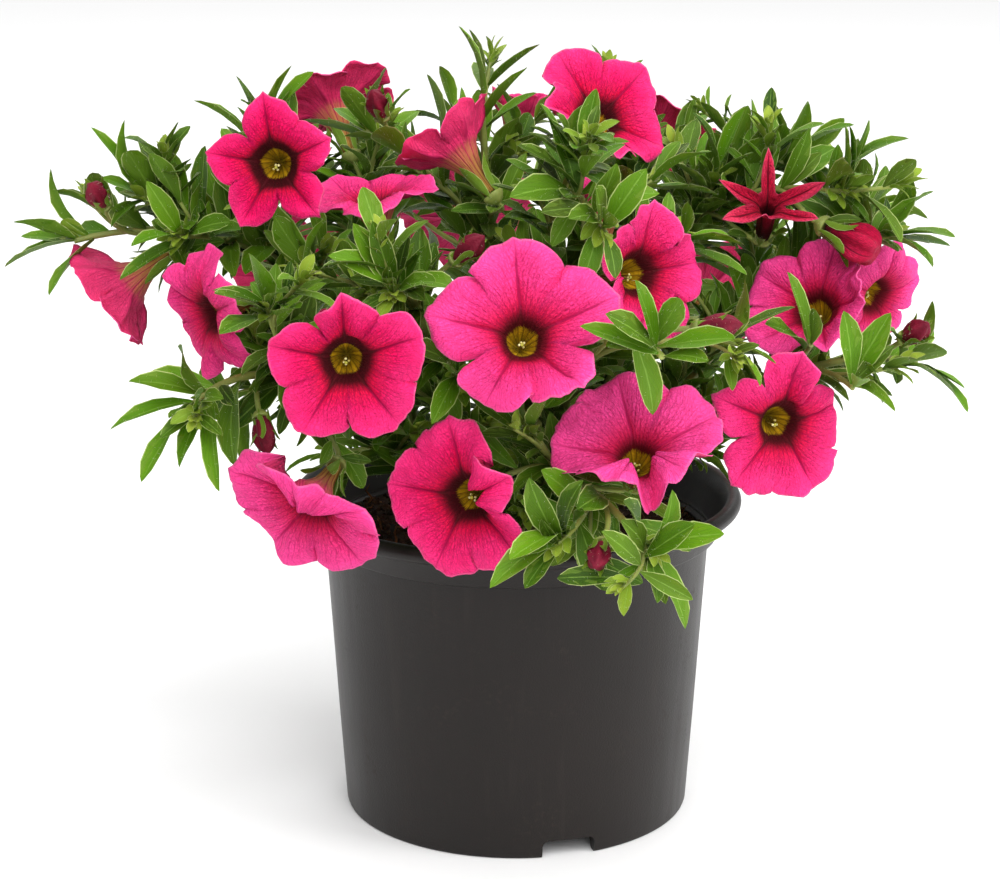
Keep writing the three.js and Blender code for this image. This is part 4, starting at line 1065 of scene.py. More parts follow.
def limbReach(flower, drawn, spot, seed):
    # How far the limb reaches past the throat in one direction, between one lobe's tip and the next sinus
    sizes, shape = petalSizes, limbShapes[flower["shape"]]
    angle, lobe = spot["angle"], spot["lobe"]
    edge = 1 + sizes["uneven"] * noise.noise(polar(1.6, angle, seed * 3.3))
    edge += drawn["cusps"][lobe] * math.exp(-spot["fromVein"] / sizes["cuspWidth"])
    edge += shape["ragged"] * noise.noise(polar(9, angle, seed * 5.7))
    bulge = math.sin(math.pi * spot["phase"]) ** shape["power"]
    full = spot["deep"] + (shape["high"] * drawn["tips"][lobe] - spot["deep"]) * bulge
    reach = flower["width"] / 2 * full * edge - flower["mouth"]
    for at, spread, part in flower["trims"]:
        reach *= 1 - part * bell(flower, spot["share"], at, spread)
    return reach


def limbLift(flower, drawn, spot, seed):
    # A function of t, the share of the way out, for how far the limb rises off its plain slope
    sizes, shape = petalSizes, limbShapes[flower["shape"]]
    size = flower["width"] / sizes["usualWidth"]
    phase, fromVein, angle = spot["phase"], spot["fromVein"], spot["angle"]
    fromSinus = 0.5 - fromVein
    roll = drawn["rolls"][spot["lobe"]] * math.sin(math.pi * phase) ** 0.5
    pillow = sizes["puff"] * (1 - math.exp(-fromVein / shape["groove"]) - 0.6)
    crease = sizes["crease"] * math.exp(-(fromSinus / sizes["creaseWidth"]) ** 2)
    turnBack = shape["turnBack"] * max(0, sizes["turnsBackBelow"] - spot["deep"]) / 0.2
    turnBack *= math.exp(-fromSinus / sizes["turnBackWidth"])
    lap = sizes["overlap"] * spot["lap"]
    tilt = drawn["tilts"][spot["lobe"]] * math.sin(2 * math.pi * phase)

    def liftAt(t):
        lift = pillow * easing(0, 0.3, t) * (1 - 0.55 * easing(0.6, 1, t)) - crease * easing(0.5, 1, t)
        lift += lap * easing(0.15, 0.5, t) + tilt * easing(0.35, 1, t)
        lift -= turnBack * t * t + roll * max(0, (t - sizes["rollFrom"]) / (1 - sizes["rollFrom"])) ** 2
        for number, start, part in drawn["waves"]:
            wave = math.sin(2 * math.pi * number * spot["share"] + start)
            lift += sizes["wave"] * part * t ** 3 * wave
        lift += sizes["warp"] * noise.noise(polar(1.4, angle, seed * 7.3 + 0.7 * t)) * t * t
        ripple = noise.noise(polar(9 * t + 2, angle, seed * 3.1))
        lift += sizes["ripple"] * ripple * easing(0.1, 0.6, t)
        return size * lift - sizes["throatDip"] * math.exp(-t * spot["reach"] / sizes["dipReach"])

    return liftAt


def limbPoints(flower, seed):
    # The upper face of the limb, ring by ring from the throat outwards, in the flower's own frame
    sizes, shape = petalSizes, limbShapes[flower["shape"]]
    count, ringCount = sizes["directions"], sizes["limbRings"]
    drawn = drawnLobes(flower, seed)
    rings = [[] for _ in range(ringCount + 1)]
    for k in range(count):
        share = k / count
        phase = 5 * share % 1
        sinus = round(5 * share) % 5
        spot = {
            "share": share, "lobe": int(5 * share), "phase": phase, "fromVein": abs(phase - 0.5),
            "deep": shape["sinus"] or drawn["sinuses"][sinus],
            "angle": 2 * math.pi * share + math.radians(flower["turn"]),
        }
        spot["reach"] = reach = limbReach(flower, drawn, spot, seed)
        if math.sin(spot["angle"]) < 0:
            # The lower arms of a star spread to the sides
            spot["angle"] -= math.radians(shape["armSpread"]) * math.sin(2 * spot["angle"])
        # One margin lies over the next at each sinus that isn't deep
        lap = drawn["laps"][sinus] * (spot["deep"] > sizes["lapsFrom"])
        near = abs(lap) * math.exp(-(0.5 - spot["fromVein"]) / sizes["lapWidth"])
        spot["lap"] = math.copysign(near, lap * (0.5 - phase))
        swing = math.radians(sizes["lapAngle"]) * math.copysign(near, phase - 0.5)
        liftAt = limbLift(flower, drawn, spot, seed)
        inner, outer = curlsAt(flower, share)
        r, z = flower["mouth"], sizes["mouthHeight"]
        for i in range(ringCount + 1):
            t = i / ringCount
            slope = math.radians(inner + (outer - inner) * easing(0.3, 0.62, t))
            if i:
                r += reach / ringCount * math.cos(slope)
                z += reach / ringCount * math.sin(slope)
            lift = liftAt(t)
            side = spot["angle"] + swing * easing(0.5, 1, t)
            rings[i].append(polar(r - lift * math.sin(slope), side, z + lift * math.cos(slope)))
    return rings


def normalsOf(rings):
    count = len(rings[0])
    normals = []
    for i, ring in enumerate(rings):
        inner, outer = rings[max(i - 1, 0)], rings[min(i + 1, len(rings) - 1)]
        row = []
        for k in range(count):
            along = ring[(k + 1) % count] - ring[k - 1]
            row.append((outer[k] - inner[k]).cross(along).normalized())
        normals.append(row)
    return normals


def corollaMesh(flower, seed, name):
    sizes = petalSizes
    count, turn = sizes["directions"], flower["turn"]
    limb = limbPoints(flower, seed)
    normals = normalsOf(limb)
    shares = [i / (len(limb) - 1) for i in range(len(limb))]
    back = []
    for t, ring, outwards in list(zip(shares, limb, normals))[::2]:
        depth = sizes["thick"] + (sizes["thin"] - sizes["thick"]) * t
        back.append([p - n * depth for p, n in zip(ring, outwards)])
    slimness = flower["mouth"] / sizes["throat"]
    narrow = sizes["narrowTube"]
    widening = (flower["mouth"] - sizes["narrowMouth"]) / (sizes["throat"] - sizes["narrowMouth"])
    tube = [(min(r, narrow) + max(0, r - narrow) * widening, z) for r, z in sizes["tube"]]
    tube = ringsOf(tube, count, turn)
    funnel = ringsOf([(r * slimness, z) for r, z in sizes["funnel"]], count, turn)
    heights = [limbFrom * i / len(tube) for i in range(len(tube))]
    heights += [limbFrom + (1 - limbFrom) * t for t in shares[::2]]
    rimAt = len(heights) - 1
    heights += [limbFrom + (1 - limbFrom) * t for t in shares[::-1]]
    heights += [limbFrom * (1 - (i + 1) / len(funnel)) for i in range(len(funnel))]
    points, faces, maps = skin(tube + back + limb[::-1] + funnel, heights, 5)
    placed = [flower["base"] + flower["pose"] @ (p * mm) for p in points]
    indices = [1 if i // count < rimAt else 0 for i in range(len(faces))]
    mesh = meshFrom(name, placed, faces, maps, indices=indices)
    layer = mesh.attributes.new("tint", "FLOAT", "POINT")
    layer.data.foreach_set("value", [flower["tint"]] * len(placed))
    return mesh


for number, bloom in enumerate(blooms):
    name = bloom["name"].replace("flower", "corolla")
    mesh = corollaMesh(bloom, number, name)
    newPiece(name, mesh, [bloom["name"]], ["petal", "petalBack"])
newPiece("corollaStar", corollaMesh(star, 40, "corollaStar"), ["flower_star"],
         ["starPetal", "youngPetal"])
print("flowers ready:", len(blooms))


# The closed flower is a pleated barrel, and a bud is the same at a smaller size

def pleatedMesh(name, profile, place, axis, count, twist=0.0, depth=0.0):
    # Turned from a profile, with five pleats that twist on their way up
    pose = up.rotation_difference(axis)
    rings, pleats = [], 5
    last = len(profile) - 1
    for i, (radius, z) in enumerate(profile):
        ring = []
        for k in range(count if radius else 1):
            angle = 2 * math.pi * k / count
            pleat = math.cos(pleats * angle + twist * i / last)
            ring.append(polar(radius * (1 + depth * pleat * math.sin(math.pi * i / last)), angle, z))
        rings.append(ring)
    points, faces, maps = skin(rings, None, pleats)
    return meshFrom(name, [place + pose @ (p * mm) for p in points], faces, maps)


barrel = [
    (0, 0.1), (1.45, 0.15), (1.7, 2), (1.9, 3.5), (2.8, 5), (3.6, 6.6), (4.0, 8.2), (4.0, 9.8),
    (3.7, 11.2), (3.0, 12.3), (1.8, 12.9), (0.8, 12.7), (0, 12.4),
]
newPiece(
    "corollaFolded",
    pleatedMesh("corollaFolded", barrel, folded["base"], folded["axis"], 60, twist=2.2, depth=0.2),
    ["flower_folded"], ["youngPetal"],
)


# The heart of a flower: four stamens round a stigma, low in the throat

heartSizes = {"stamens": 4, "ring": 0.8, "height": 9.2, "stalk": 3.4, "sag": 0.7}


def stamenMesh(name, headRadius, headLength):
    # A head on a thin stalk: its foot is at the origin and its top at a height of 1
    foot = 1 - headLength
    profile = [(0, 0), (0.05, 0.01), (0.04, foot)]
    for i in range(1, 5):
        angle = math.pi * i / 5
        profile.append((headRadius * math.sin(angle), foot + headLength * (0.5 - 0.5 * math.cos(angle))))
    profile.append((0, 1))
    rings = [[Vector((p.x, p.z, -p.y)) for p in ring] for ring in ringsOf(profile, 8)]
    return meshFrom(name, *skin(rings))


def headTree(name, part, radius, material):
    return sproutTree(name, shapesFor(part, [stamenMesh(part, radius, 0.12)]), materials[material])


antherTree = headTree("stamens", "stamen", 0.09, "anther")
stigmaTree = headTree("stigmas", "pistil", 0.11, "stigma")


def heartPiece(flower, seed):
    rng = random.Random(900 + seed)
    sizes = heartSizes
    slimness = flower["mouth"] / petalSizes["throat"]
    # The stamens lean on the lower side of the throat
    down = flower["pose"].inverted() @ -up
    middle = Vector((down.x, down.y, 0)) * sizes["sag"]

    def standing(spot, height, lean):
        axis = flower["pose"] @ (up + Vector((rng.uniform(-lean, lean), rng.uniform(-lean, lean), 0)))
        start = flower["base"] + flower["pose"] @ ((spot + up * (height - sizes["stalk"])) * mm)
        return sprout(start, axis, flower["pose"] @ Vector((1, 0, 0)), sizes["stalk"], sizes["stalk"], 0)

    stamens = []
    for k in range(sizes["stamens"]):
        angle = 2 * math.pi * k / sizes["stamens"] + rng.uniform(0, 0.5)
        spot = (middle + polar(sizes["ring"] * rng.uniform(0.5, 1), angle)) * slimness
        stamens.append(standing(spot, sizes["height"] + rng.uniform(-0.7, 0.4), 0.08))
    name = flower["name"].replace("flower", "stamens")
    stigma = sprouted("stigma", stigmaTree, [standing(middle * slimness, sizes["height"] + 0.3, 0.03)])
    mesh = joined(name, [sprouted(name, antherTree, stamens), stigma])
    newPiece(name, mesh, [flower["name"] + "_heart"])


for number, bloom in enumerate(blooms):
    heartPiece(bloom, number)
print("hearts ready")


# Stems are smooth curves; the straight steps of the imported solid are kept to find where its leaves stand

class Stem:
    def __init__(self, controls, steps):
        self.controls = [Vector(p) for p in controls]
        self.corners = [self.smooth(i / steps) for i in range(steps + 1)]
        steps = 200
        spots = [self.stepped(i / steps) for i in range(steps + 1)]
        self.reach = sum((b - a).length for a, b in zip(spots, spots[1:]))

    def smooth(self, t):
        points = self.controls
        while len(points) > 1:
            points = [a.lerp(b, t) for a, b in zip(points, points[1:])]
        return points[0]

    def stepped(self, t):
        place = t * (len(self.corners) - 1)
        step = min(int(place), len(self.corners) - 2)
        return self.corners[step].lerp(self.corners[step + 1], place - step)

    def tangent(self, t):
        near = 0.0001
        low, high = max(t - near, 0), min(t + near, 1)
        return (self.stepped(high) - self.stepped(low)).normalized()


def sideStem(parent, at, tip, steps=3):
    start = parent.stepped(at)
    tip = Vector(tip)
    knee = start + parent.tangent(at) * ((tip - start).length * 0.4)
    return Stem([start, knee, tip], steps)


def stalkStem(parent, at, base, axis):
    start = parent.stepped(at)
    reach = (base - start).length * 0.4
    return Stem([start, start + parent.tangent(at) * reach, base - axis * reach, base - axis * 1.5], 3)


class Dice:
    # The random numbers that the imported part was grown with
    factor, size = 16807, 2147483647

    def __init__(self, seed):
        self.state = seed

    def __call__(self, low, high):
        self.state = self.state * self.factor % self.size
        return low + (high - low) * self.state / self.size


def sidesOf(tangent):
    side = tangent.cross(up)
    side = side.normalized() if side.length > 0.05 else Vector((1, 0, 0))
    return side, side.cross(tangent).normalized()


def leafFace(tangent, chord):
    wanted = tangent + up
    return (wanted - chord * wanted.dot(chord)).normalized()


def leafAway(stem, at, turn, spread, length):
    # The tip of a leaf that leaves the stem at the angle spread, turned round it by turn
    tangent = stem.tangent(at)
    side, lift = sidesOf(tangent)
    out = side * math.cos(math.radians(turn)) + lift * math.sin(math.radians(turn))
    lean = math.radians(spread)
    return stem.stepped(at) + (tangent * math.cos(lean) + out * math.sin(lean)) * length


def leafBeside(stem, at, tip, nudge):
    start = stem.stepped(at)
    chord = Vector(tip) - start
    return start + chord + sidesOf(chord.normalized())[0] * nudge


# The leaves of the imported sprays, found again by their tips, so that every large leaf keeps its place

leafRule = {
    "pitch": 18, "tuft": 9, "bareMain": 0.1, "bareTwig": 0.25, "golden": 137.5, "tipPitch": 1.4,
    "nudges": (0, 2.5, -2.5, 5, -5), "turns": (0, 45, -45, 90), "match": 0.06, "tipWidth": (5, 6.3),
    "slimness": (0.31, 0.38), "loose": (-14, 14), "singleSpread": (50, 75), "singleLength": (15, 20),
    "closeSpread": (55, 68), "spreadFall": 35, "closeLength": (14, 18), "lengthFall": 5,
}


def packedLeaves(stem, tips, bare, draw, tree):
    # Each leaf may stand in one of a few ways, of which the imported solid's corners show the right one.
    # Its bend was drawn too and isn't needed here, but the draw after its width keeps the order
    rule = leafRule
    found = []

    def keep(at, options, width):
        for tip in options:
            if tree.find(tip * mm)[2] < rule["match"] * mm:
                found.append({"at": at, "tip": tip, "width": width})
                return

    for i, tip in enumerate(tips):
        at = 1 - (1 + rule["tipPitch"] * i) / stem.reach
        width, _ = draw(*rule["tipWidth"]), draw(0, 1)
        keep(at, [leafBeside(stem, at, tip, nudge) for nudge in rule["nudges"]], width)
    tuft = min(0.3, rule["tuft"] / stem.reach)
    room = 1 - tuft - bare
    singles = max(1, math.floor(room * stem.reach / rule["pitch"] + 0.5))
    close = 2 if tips else 4
    places = []
    for i in range(singles):
        spread, length = draw(*rule["singleSpread"]), draw(*rule["singleLength"])
        places.append((bare + room * (i + 0.5) / singles, spread, length))
    for i in range(close):
        share = i / (close - 1)
        spread = draw(*rule["closeSpread"]) - rule["spreadFall"] * share
        length = draw(*rule["closeLength"]) - rule["lengthFall"] * share
        places.append((1 - tuft * (1 - share), spread, length))
    first = draw(0, 360)
    for i, (at, spread, length) in enumerate(places):
        turn = first + rule["golden"] * i + draw(*rule["loose"])
        width, _ = length * draw(*rule["slimness"]), draw(0, 1)
        keep(at, [leafAway(stem, at, turn + more, spread, length) for more in rule["turns"]], width)
    return found


# A leaf blade of length 1 along Y and width 1 in X, folded along its midrib, thin, with sharp edges

bladeSizes = {
    "steps": 7, "across": ((-1, 1), (-0.5, 0.42), (0, 0), (0.5, 0.42), (1, 1)), "fold": 0.105,
    "thickness": 0.028, "wave": 0.03, "sharpAngle": 60,
    "arches": (12, 24, 36, 50), "twists": (8, -10, 14, -6),
}


def fullness(s):
    # How wide a blade is at a share of its length
    return s ** 1.1 * (1 - s) ** 0.8


def bladePoints(arch, twist, seed):
    # The root, the tip, the upper face in rows across, and the ridge under it
    sizes = bladeSizes
    widest = fullness(0.58)
    upper, ridge = [], []
    for i in range(1, sizes["steps"]):
        s = 0.5 - 0.5 * math.cos(math.pi * (i / sizes["steps"]) ** 0.92)
        half = 0.5 * max(fullness(s) / widest, 0.1)
        middle = Vector((0, s, (math.cos(arch * (s - 0.5)) - math.cos(arch / 2)) / arch))
        turn = Matrix.Rotation(twist * (s - 0.5), 3, "Y")
        wave = sizes["wave"] * math.sin(9 * s + seed)
        for x, rise in sizes["across"]:
            lift = sizes["fold"] * half * rise + wave * half * x * abs(x)
            upper.append(middle + turn @ Vector((x * half, 0, lift)))
        ridge.append(middle - Vector((0, 0, sizes["thickness"] * (1.1 - s))))
    return [Vector((0, 0, 0)), Vector((0, 1, 0)), *upper, *ridge]


def bladeFaces(width, steps):
    # Each face with its map, whose under side lies past 1 across
    count = steps - 1
    rows = [[2 + width * i + j for j in range(width)] for i in range(count)]
    ridge = [2 + width * count + i for i in range(count)]
    first, last = 1 / steps, 1 - 1 / steps
    spans = [(i, (i + 1) / steps, (i + 2) / steps) for i in range(count - 1)]
    faces = []
    for j in range(width - 1):
        u, w = j / (width - 1), (j + 1) / (width - 1)
        left, right = [row[j] for row in rows], [row[j + 1] for row in rows]
        faces.append(((0, right[0], left[0]), ((u, 0), (w, first), (u, first))))
        faces.append(((left[-1], right[-1], 1), ((u, last), (w, last), (u, 1))))
        for i, v, y in spans:
            faces.append(((left[i], right[i], right[i + 1], left[i + 1]), ((u, v), (w, v), (w, y), (u, y))))
    for j, outer, step in ((0, 1, 1), (width - 1, 1.999, -1)):
        edge = [row[j] for row in rows]
        under = [((0, edge[0], ridge[0]), ((1.5, 0), (outer, first), (1.5, first)))]
        under.append(((edge[-1], 1, ridge[-1]), ((outer, last), (1.5, 1), (1.5, last))))
        for i, v, y in spans:
            corners = (edge[i], edge[i + 1], ridge[i + 1], ridge[i])
            under.append((corners, ((outer, v), (outer, y), (1.5, y), (1.5, v))))
        faces += [(corners[::step], spots[::step]) for corners, spots in under]
    return faces


def bladeMesh(name, arch, twist, seed):
    sizes = bladeSizes
    points = bladePoints(math.radians(arch), math.radians(twist), seed)
    faces, maps = zip(*bladeFaces(len(sizes["across"]), sizes["steps"]))
    mesh = meshFrom(name, points, faces, maps)
    mesh.set_sharp_from_angle(angle=math.radians(sizes["sharpAngle"]))
    return mesh


blades = [
    bladeMesh(f"blade_{i}", arch, twist, i)
    for i, (arch, twist) in enumerate(zip(bladeSizes["arches"], bladeSizes["twists"]))
]
leafTree = sproutTree("leaves", shapesFor("bladeShape", blades), materials["leaf"])


# The stems: a tube along each chain of points, as thick as the points say

def stemTree():
    tree, given, result = growingTree("stems", Sides=8)
    curve = addNode(tree, "GeometryNodeMeshToCurve", {0: given["Geometry"]}).outputs[0]
    inputs = {"Curve": curve, "Radius": pointValue(tree, "thickness", "FLOAT")}
    thick = addNode(tree, "GeometryNodeSetCurveRadius", inputs).outputs[0]
    ring = addNode(tree, "GeometryNodeCurvePrimitiveCircle", {"Resolution": given["Sides"], "Radius": 1.0})
    inputs = {"Curve": thick, "Profile Curve": ring.outputs[0], "Fill Caps": True}
    tubes = addNode(tree, "GeometryNodeCurveToMesh", inputs)
    if "Scale" in tubes.inputs:
        connect(tree, addNode(tree, "GeometryNodeInputRadius").outputs[0], tubes.inputs["Scale"])
    soft = addNode(tree, "GeometryNodeSetShadeSmooth", {"Geometry": tubes.outputs[0]}).outputs[0]
    return finishTree(tree, soft, materials["stem"], result)


def stemMesh(name, tree, chains):
    # Each chain is a list of (point in millimetres, radius in millimetres)
    points, edges, radii = [], [], []
    for chain in chains:
        edges += [(len(points) + i, len(points) + i + 1) for i in range(len(chain) - 1)]
        points += [tuple(p * mm) for p, _ in chain]
        radii += [radius * mm for _, radius in chain]
    mesh = bpy.data.meshes.new(name)
    mesh.from_pydata(points, edges, [])
    mesh.attributes.new("thickness", "FLOAT", "POINT").data.foreach_set("value", radii)
    return grown(mesh, tree, {"Sides": 8}, name)


tubes = stemTree()


# Sprays: their packed leaves, more leaves between them, tufts of young ones, cups, sepals and buds

sprayRule = {
    "rootHeight": 68, "buried": (58, 63), "rootRadius": 1.5, "tipRadius": 0.7, "twigRadius": 0.8,
    "twigTip": 0.55, "stalkRadius": 0.6,
    "pitch": 1.8, "shortest": 9, "longest": 20, "spread": (34, 78), "slimness": (0.28, 0.36), "rise": 0.25,
    "loose": (-30, 30), "light": (0, 0.8), "testedAt": (0.35, 0.7, 1), "tuftLoose": (-20, 20),
    "tuftLeaves": 12, "tuftLength": (3.5, 9), "tuftDepth": 3.5, "tuftSpread": (52, 10), "tuftSlimness": 0.42,
    "shootPitch": 20, "shootLength": (13, 22), "shootSpread": (30, 65), "shootRise": 0.5,
    "shootRadius": (0.6, 0.4), "shootTries": 4, "shootsFrom": 0.12, "baseShoots": (0.08, 0.16, 0.24),
}
leafLimits = {
    "fromSolid": 11, "besideFlower": 1.5, "faceFrom": 7.5, "faceTo": 55, "lipInside": 40,
    "lipOutside": 55, "overLip": 78, "lowest": 70, "pastBox": 3,
}
cupProfile = [
    (0, -3), (0.75, -2.9), (1.5, -2.3), (2.2, -1.4), (2.5, -0.6), (2.3, -0.3), (1.8, -0.35), (0, -0.6),
]
budProfile = [(0, -0.6), (1.2, 0.2), (1.8, 1.6), (2.2, 3.6), (2.3, 5.2), (1.7, 7.2), (0.7, 8.6), (0, 9.4)]
budCup = [(r * 0.8, z * 0.8 + 0.4) for r, z in cupProfile]
# Sepals are painted at a middle light and shade
flowerSepals = {"turn": 0, "reach": 6, "height": 8, "width": 2.4, "light": 0.5}
budSepals = {"turn": 0.3, "reach": 3.6, "height": 7, "width": 1.8, "light": 0.6}
sepalRoot = {"radius": 1.9, "height": -1.6}
flowerFrames = [(one["base"], one["pose"].inverted(), one["width"]) for one in [*blooms, star]]


def isFree(points, tree):
    # Whether an extra leaf stays near its spray, in the solids' box, and off the flowers' faces and the lip
    limits = leafLimits
    room = limits["pastBox"] * mm
    if tree and tree.find(points[-1])[2] > limits["fromSolid"] * mm:
        return False
    for p in points:
        for base, pose, width in flowerFrames:
            local = pose @ (p - base) / mm
            isInFront = limits["faceFrom"] < local.z < limits["faceTo"]
            if isInFront and math.hypot(local.x, local.y) < width / 2 + limits["besideFlower"]:
                return False
        radius, height = math.hypot(p.x, p.y) / mm, p.z / mm
        isOverLip = limits["lipInside"] < radius < limits["lipOutside"]
        if height < limits["overLip" if isOverLip else "lowest"]:
            return False
        for value, low, high in zip(p, *cadBox):
            if value < low - room or value > high + room:
                return False
    return True


def leafSprout(stem, at, tip, width, shape, light, youth):
    start = stem.smooth(at)
    chord = tip - start
    length = chord.length
    face = leafFace(stem.tangent(at), chord.normalized())
    return sprout(start * mm, chord, face, length, width, shape, light, youth)


def raised(start, tip, rise, length):
    return start + (tip - start + up * rise * length).normalized() * length


def extraLeaves(stem, rng, first, isBare, tree):
    # Leaves all along a stem, and the young ones at its end unless it is bare
    rule = sprayRule
    leaves = []
    count = int(stem.reach / rule["pitch"])
    for i in range(count):
        at = (i + rng.random()) / count
        turn = first + leafRule["golden"] * i + rng.uniform(*rule["loose"])
        length = rng.uniform(rule["shortest"], rule["longest"]) * (1 - 0.25 * at)
        start = stem.smooth(at)
        tip = leafAway(stem, at, turn, rng.uniform(*rule["spread"]), length)
        tip = raised(start, tip, rule["rise"], length)
        # Each extra leaf gets painted light and shade at random
        slimness, shape, light = rng.uniform(*rule["slimness"]), rng.randrange(4), rng.uniform(*rule["light"])
        if isFree([start.lerp(tip, share) * mm for share in rule["testedAt"]], tree):
            leaves.append(leafSprout(stem, at, tip, length * slimness, shape, light, 0.15 * rng.random()))
    for i in range(0 if isBare else rule["tuftLeaves"]):
        share = i / rule["tuftLeaves"]
        at = 1 - rule["tuftDepth"] * (1 - share) / stem.reach
        length = rng.uniform(*rule["tuftLength"]) * (1 - 0.4 * share)
        turn = leafRule["golden"] * i + rng.uniform(*rule["tuftLoose"])
        wide, narrow = rule["tuftSpread"]
        tip = leafAway(stem, at, turn, wide + (narrow - wide) * share, length)
        if isFree([tip * mm], tree):
            width = length * rule["tuftSlimness"]
            # Young tuft leaves are painted as lit, and yellower the nearer the tip
            leaves.append(leafSprout(stem, at, tip, width, rng.randrange(4), 0.9, 0.45 + 0.55 * share))
    return leaves


def shootsOf(stem, rng, places, tree):
    # Short leafy side shoots, where there is room for them
    rule = sprayRule
    shoots = []
    for at in places:
        start = stem.stepped(at)
        for _ in range(rule["shootTries"]):
            length = rng.uniform(*rule["shootLength"])
            tip = leafAway(stem, at, rng.uniform(0, 360), rng.uniform(*rule["shootSpread"]), length)
            tip = raised(start, tip, rule["shootRise"], length)
            if isFree([start.lerp(tip, share) * mm for share in (0.5, 1)], tree):
                shoots.append(sideStem(stem, at, tip))
                break
    return shoots


def sepals(base, axis, turn, reach, height, width, light):
    # Five narrow sepals that rise from the cup and bend outwards
    pose = up.rotation_difference(axis)
    leaves = []
    for k in range(5):
        angle = 2 * math.pi * (k + 0.5) / 5 + turn
        start = base + pose @ (polar(sepalRoot["radius"], angle, sepalRoot["height"]) * mm)
        tip = base + pose @ (polar(reach, angle, height) * mm)
        inwards = pose @ polar(-1, angle)
        chord = tip - start
        face = (inwards - chord.normalized() * inwards.dot(chord.normalized())).normalized()
        leaves.append(sprout(start, chord, face, chord.length / mm, width, 1 + k % 3, light, 0.25))
    return leaves


def chainOf(stem, steps, low, high):
    return [(stem.smooth(i / steps), low + (high - low) * i / steps) for i in range(steps + 1)]


def inMaterial(mesh, title):
    mesh.materials.append(materials[title])
    return mesh


def stemsOf(plan):
    stems = [Stem([Vector((*plan["root"], sprayRule["rootHeight"])), plan["knee"], plan["tip"]], 5)]
    for source, at, tip, _ in plan["twigs"]:
        stems.append(sideStem(stems[source], at, tip))
    return stems


def cornerTree(name):
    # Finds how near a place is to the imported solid
    corners = [vert.co for vert in cadNodes[name].data.vertices]
    tree = KDTree(len(corners))
    for i, corner in enumerate(corners):
        tree.insert(corner, i)
    tree.balance()
    return tree


def leafyStem(stem, tips, isMain, rng, draw, tree):
    # The leaves of a stem and of its side shoots, and the chains of the shoots
    rule = sprayRule
    leaves = []
    for one in packedLeaves(stem, tips, leafRule["bareMain" if isMain else "bareTwig"], draw, tree):
        # Each packed leaf gets painted light and shade at random
        shape, light = rng.randrange(4), rng.uniform(0.3, 1)
        leaves.append(leafSprout(stem, one["at"], one["tip"], one["width"], shape, light, 0.1 * rng.random()))
    leaves += extraLeaves(stem, rng, rng.uniform(0, 360), False, tree)
    start, room = rule["shootsFrom"], 1 - rule["shootsFrom"]
    count = int(room * stem.reach / rule["shootPitch"])
    places = [start + room * (k + rng.uniform(0.2, 0.8)) / count for k in range(count)]
    shoots = [(shoot, tree) for shoot in shootsOf(stem, rng, places, tree)]
    if isMain:
        # Those close above the soil may stand farther from the solid
        shoots += [(shoot, None) for shoot in shootsOf(stem, rng, rule["baseShoots"], None)]
    for shoot, limits in shoots:
        leaves += extraLeaves(shoot, rng, rng.uniform(0, 360), False, limits)
    return leaves, [chainOf(shoot, 8, *rule["shootRadius"]) for shoot, _ in shoots]


def flowerStalk(bloom, stem, rng, tree):
    # Its leaves and sepals, its chain, and the cup that holds the flower
    base, axis, radius = bloom["base"], bloom["axis"], sprayRule["stalkRadius"]
    stalk = stalkStem(stem, bloom["at"], base / mm, axis)
    leaves = extraLeaves(stalk, rng, rng.uniform(0, 360), True, tree)
    leaves += sepals(base, axis, **flowerSepals)
    cup = pleatedMesh("cup", cupProfile, base, axis, 20, depth=0.06)
    return leaves, chainOf(stalk, 12, radius, radius), [inMaterial(cup, "stem")]


def budStalk(stem, at, place):
    stalk = sideStem(stem, at, place)
    base, axis, radius = Vector(place) * mm, stalk.tangent(1), sprayRule["stalkRadius"]
    bud = pleatedMesh("bud", budProfile, base, axis, 30, twist=1.3, depth=0.2)
    cup = pleatedMesh("cup", budCup, base, axis, 15)
    parts = [inMaterial(bud, "bud"), inMaterial(cup, "stem")]
    return sepals(base, axis, **budSepals), chainOf(stalk, 10, radius, radius), parts


def buildSpray(index, name, plan):
    rule = sprayRule
    rng = random.Random(3000 + index)
    draw = Dice(101 + 17 * index)
    tree = cornerTree(name)
    stems = stemsOf(plan)
    buried = [(Vector((*plan["root"], height)), rule["rootRadius"]) for height in rule["buried"]]
    chains = [buried + chainOf(stems[0], 28, rule["rootRadius"], rule["tipRadius"])]
    chains += [chainOf(stem, 14, rule["twigRadius"], rule["twigTip"]) for stem in stems[1:]]
    leaves, meshes = [], []
    for stem, tips in zip(stems, [plan["leaves"]] + [twig[3] for twig in plan["twigs"]]):
        stemLeaves, shoots = leafyStem(stem, tips, stem is stems[0], rng, draw, tree)
        leaves += stemLeaves
        chains += shoots
    own = [bloom for bloom in [*blooms, star, folded] if bloom["spray"] == name]
    stalks = [flowerStalk(bloom, stems[bloom["twig"]], rng, tree) for bloom in own]
    stalks += [budStalk(stems[source], at, place) for source, at, place in plan["buds"]]
    for stalkLeaves, chain, parts in stalks:
        leaves += stalkLeaves
        chains.append(chain)
        meshes += parts
    title = name.replace("spray", "foliage")
    meshes = [stemMesh("stems", tubes, chains), sprouted("leaves", leafTree, leaves), *meshes]
    mesh = joined(title, meshes)
    newPiece(title, mesh, [name])
    return mesh, len(leaves)


leafCount = 0
foliage = []
for number, (name, plan) in enumerate(sprays.items()):
    mesh, count = buildSpray(number, name, plan)
    foliage.append(mesh)
    leafCount += count
print("sprays ready, leaves:", leafCount)


# Fine hairs on every stem and leaf

hairSizes = {"Density": 1.7e5, "Shortest": 0.00035, "Longest": 0.0009, "Radius": 0.000022}


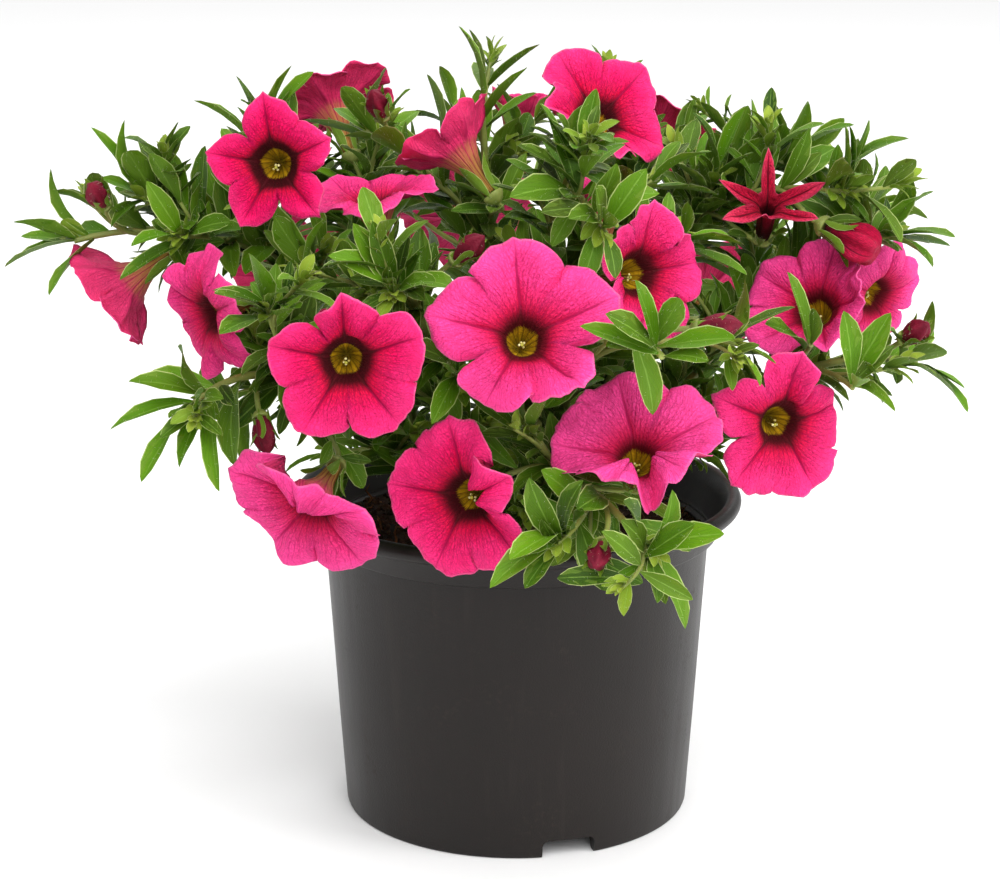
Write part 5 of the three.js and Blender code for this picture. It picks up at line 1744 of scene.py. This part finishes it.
def hairTree():
    tree, given, result = growingTree(
        "hairs", Density=1e5, Shortest=0.0004, Longest=0.001, Radius=0.00002, Seed=1)
    inputs = {"Mesh": given["Geometry"], "Density": given["Density"], "Seed": given["Seed"]}
    spots = addNode(tree, "GeometryNodeDistributePointsOnFaces", inputs).outputs
    inputs = {"Vertices": 3, "Side Segments": 1, "Depth": 1.0, "Radius Top": 0.0}
    inputs["Radius Bottom"] = given["Radius"]
    needle = addNode(tree, "GeometryNodeMeshCone", inputs).outputs["Mesh"]
    length = randomValue(tree, given["Shortest"], given["Longest"], given["Seed"])
    size = addNode(tree, "ShaderNodeCombineXYZ", {0: 1.0, 1: 1.0, 2: length}).outputs[0]
    needles = instanced(
        tree, Points=spots["Points"], Instance=needle, Rotation=spots["Rotation"], Scale=size)
    return finishTree(tree, needles, materials["hair"], result)


hairs = hairTree()
for number, mesh in enumerate(foliage):
    name = mesh.name.replace("foliage", "hairs")
    newPiece(name, grown(mesh, hairs, {**hairSizes, "Seed": 20 + number}, name))
print("hairs ready")


# The camera, a soft studio and a pale floor

studio = {
    "place": (-0.0039, -0.642, 0.2646), "pitch": 15.39, "lens": 102.9, "sensor": 36, "clip": 0.01,
    "aim": (0, 0, 0.09),
    "softboxes": {
        "sideLight": ((0.75, -0.3, 0.45), (0.4, 0.7), 4),
        "backLight": ((0.1, 0.9, 0.9), (0.9, 0.5), 5),
        "topLight": ((0.05, -0.35, 0.95), (0.8, 0.6), 4),
    },
    "sunTowards": (0.2, -1.0, 0.85), "sunPower": 2.1, "sunSpread": 50,
    "world": (1.0, 1.0, 1.0, 1), "worldStrength": 0.6, "floorColour": (0.9, 0.9, 0.9, 1), "floorReach": 40,
}

scene = bpy.context.scene
scene.view_settings.view_transform = "Standard"
cameraData = bpy.data.cameras.new("camera")
cameraData.lens = studio["lens"]
cameraData.sensor_width = studio["sensor"]
cameraData.clip_start = studio["clip"]
camera = inScene("camera", cameraData)
camera.location = studio["place"]
camera.rotation_euler = (math.radians(90 - studio["pitch"]), 0, 0)
scene.camera = camera


def softbox(name, place, size, power):
    data = bpy.data.lights.new(name, "AREA")
    data.shape, data.size, data.size_y, data.energy = "RECTANGLE", *size, power
    light = inScene(name, data)
    light.location = place
    light.rotation_euler = (Vector(studio["aim"]) - light.location).to_track_quat("-Z", "Y").to_euler()


for name, settings in studio["softboxes"].items():
    softbox(name, *settings)
sunData = bpy.data.lights.new("softSun", "SUN")
sunData.energy, sunData.angle = studio["sunPower"], math.radians(studio["sunSpread"])
sun = inScene("softSun", sunData)
sun.rotation_euler = Vector(studio["sunTowards"]).to_track_quat("Z", "Y").to_euler()

world = bpy.data.worlds.new("studio")
world.use_nodes = True
background = world.node_tree.nodes["Background"]
background.inputs["Color"].default_value = studio["world"]
background.inputs["Strength"].default_value = studio["worldStrength"]
scene.world = world

floorMaterial, _, _ = newMaterial("paleFloor", 0.8, 0.2, Base_Color=studio["floorColour"])
reach = studio["floorReach"]
corners = [Vector((x * reach, y * reach, 0)) for x, y in ((-1, -1), (1, -1), (1, 1), (-1, 1))]
floorMesh = meshFrom("floor", corners, [(0, 1, 2, 3)])
floorMesh.materials.append(floorMaterial)
inScene("floor", floorMesh)
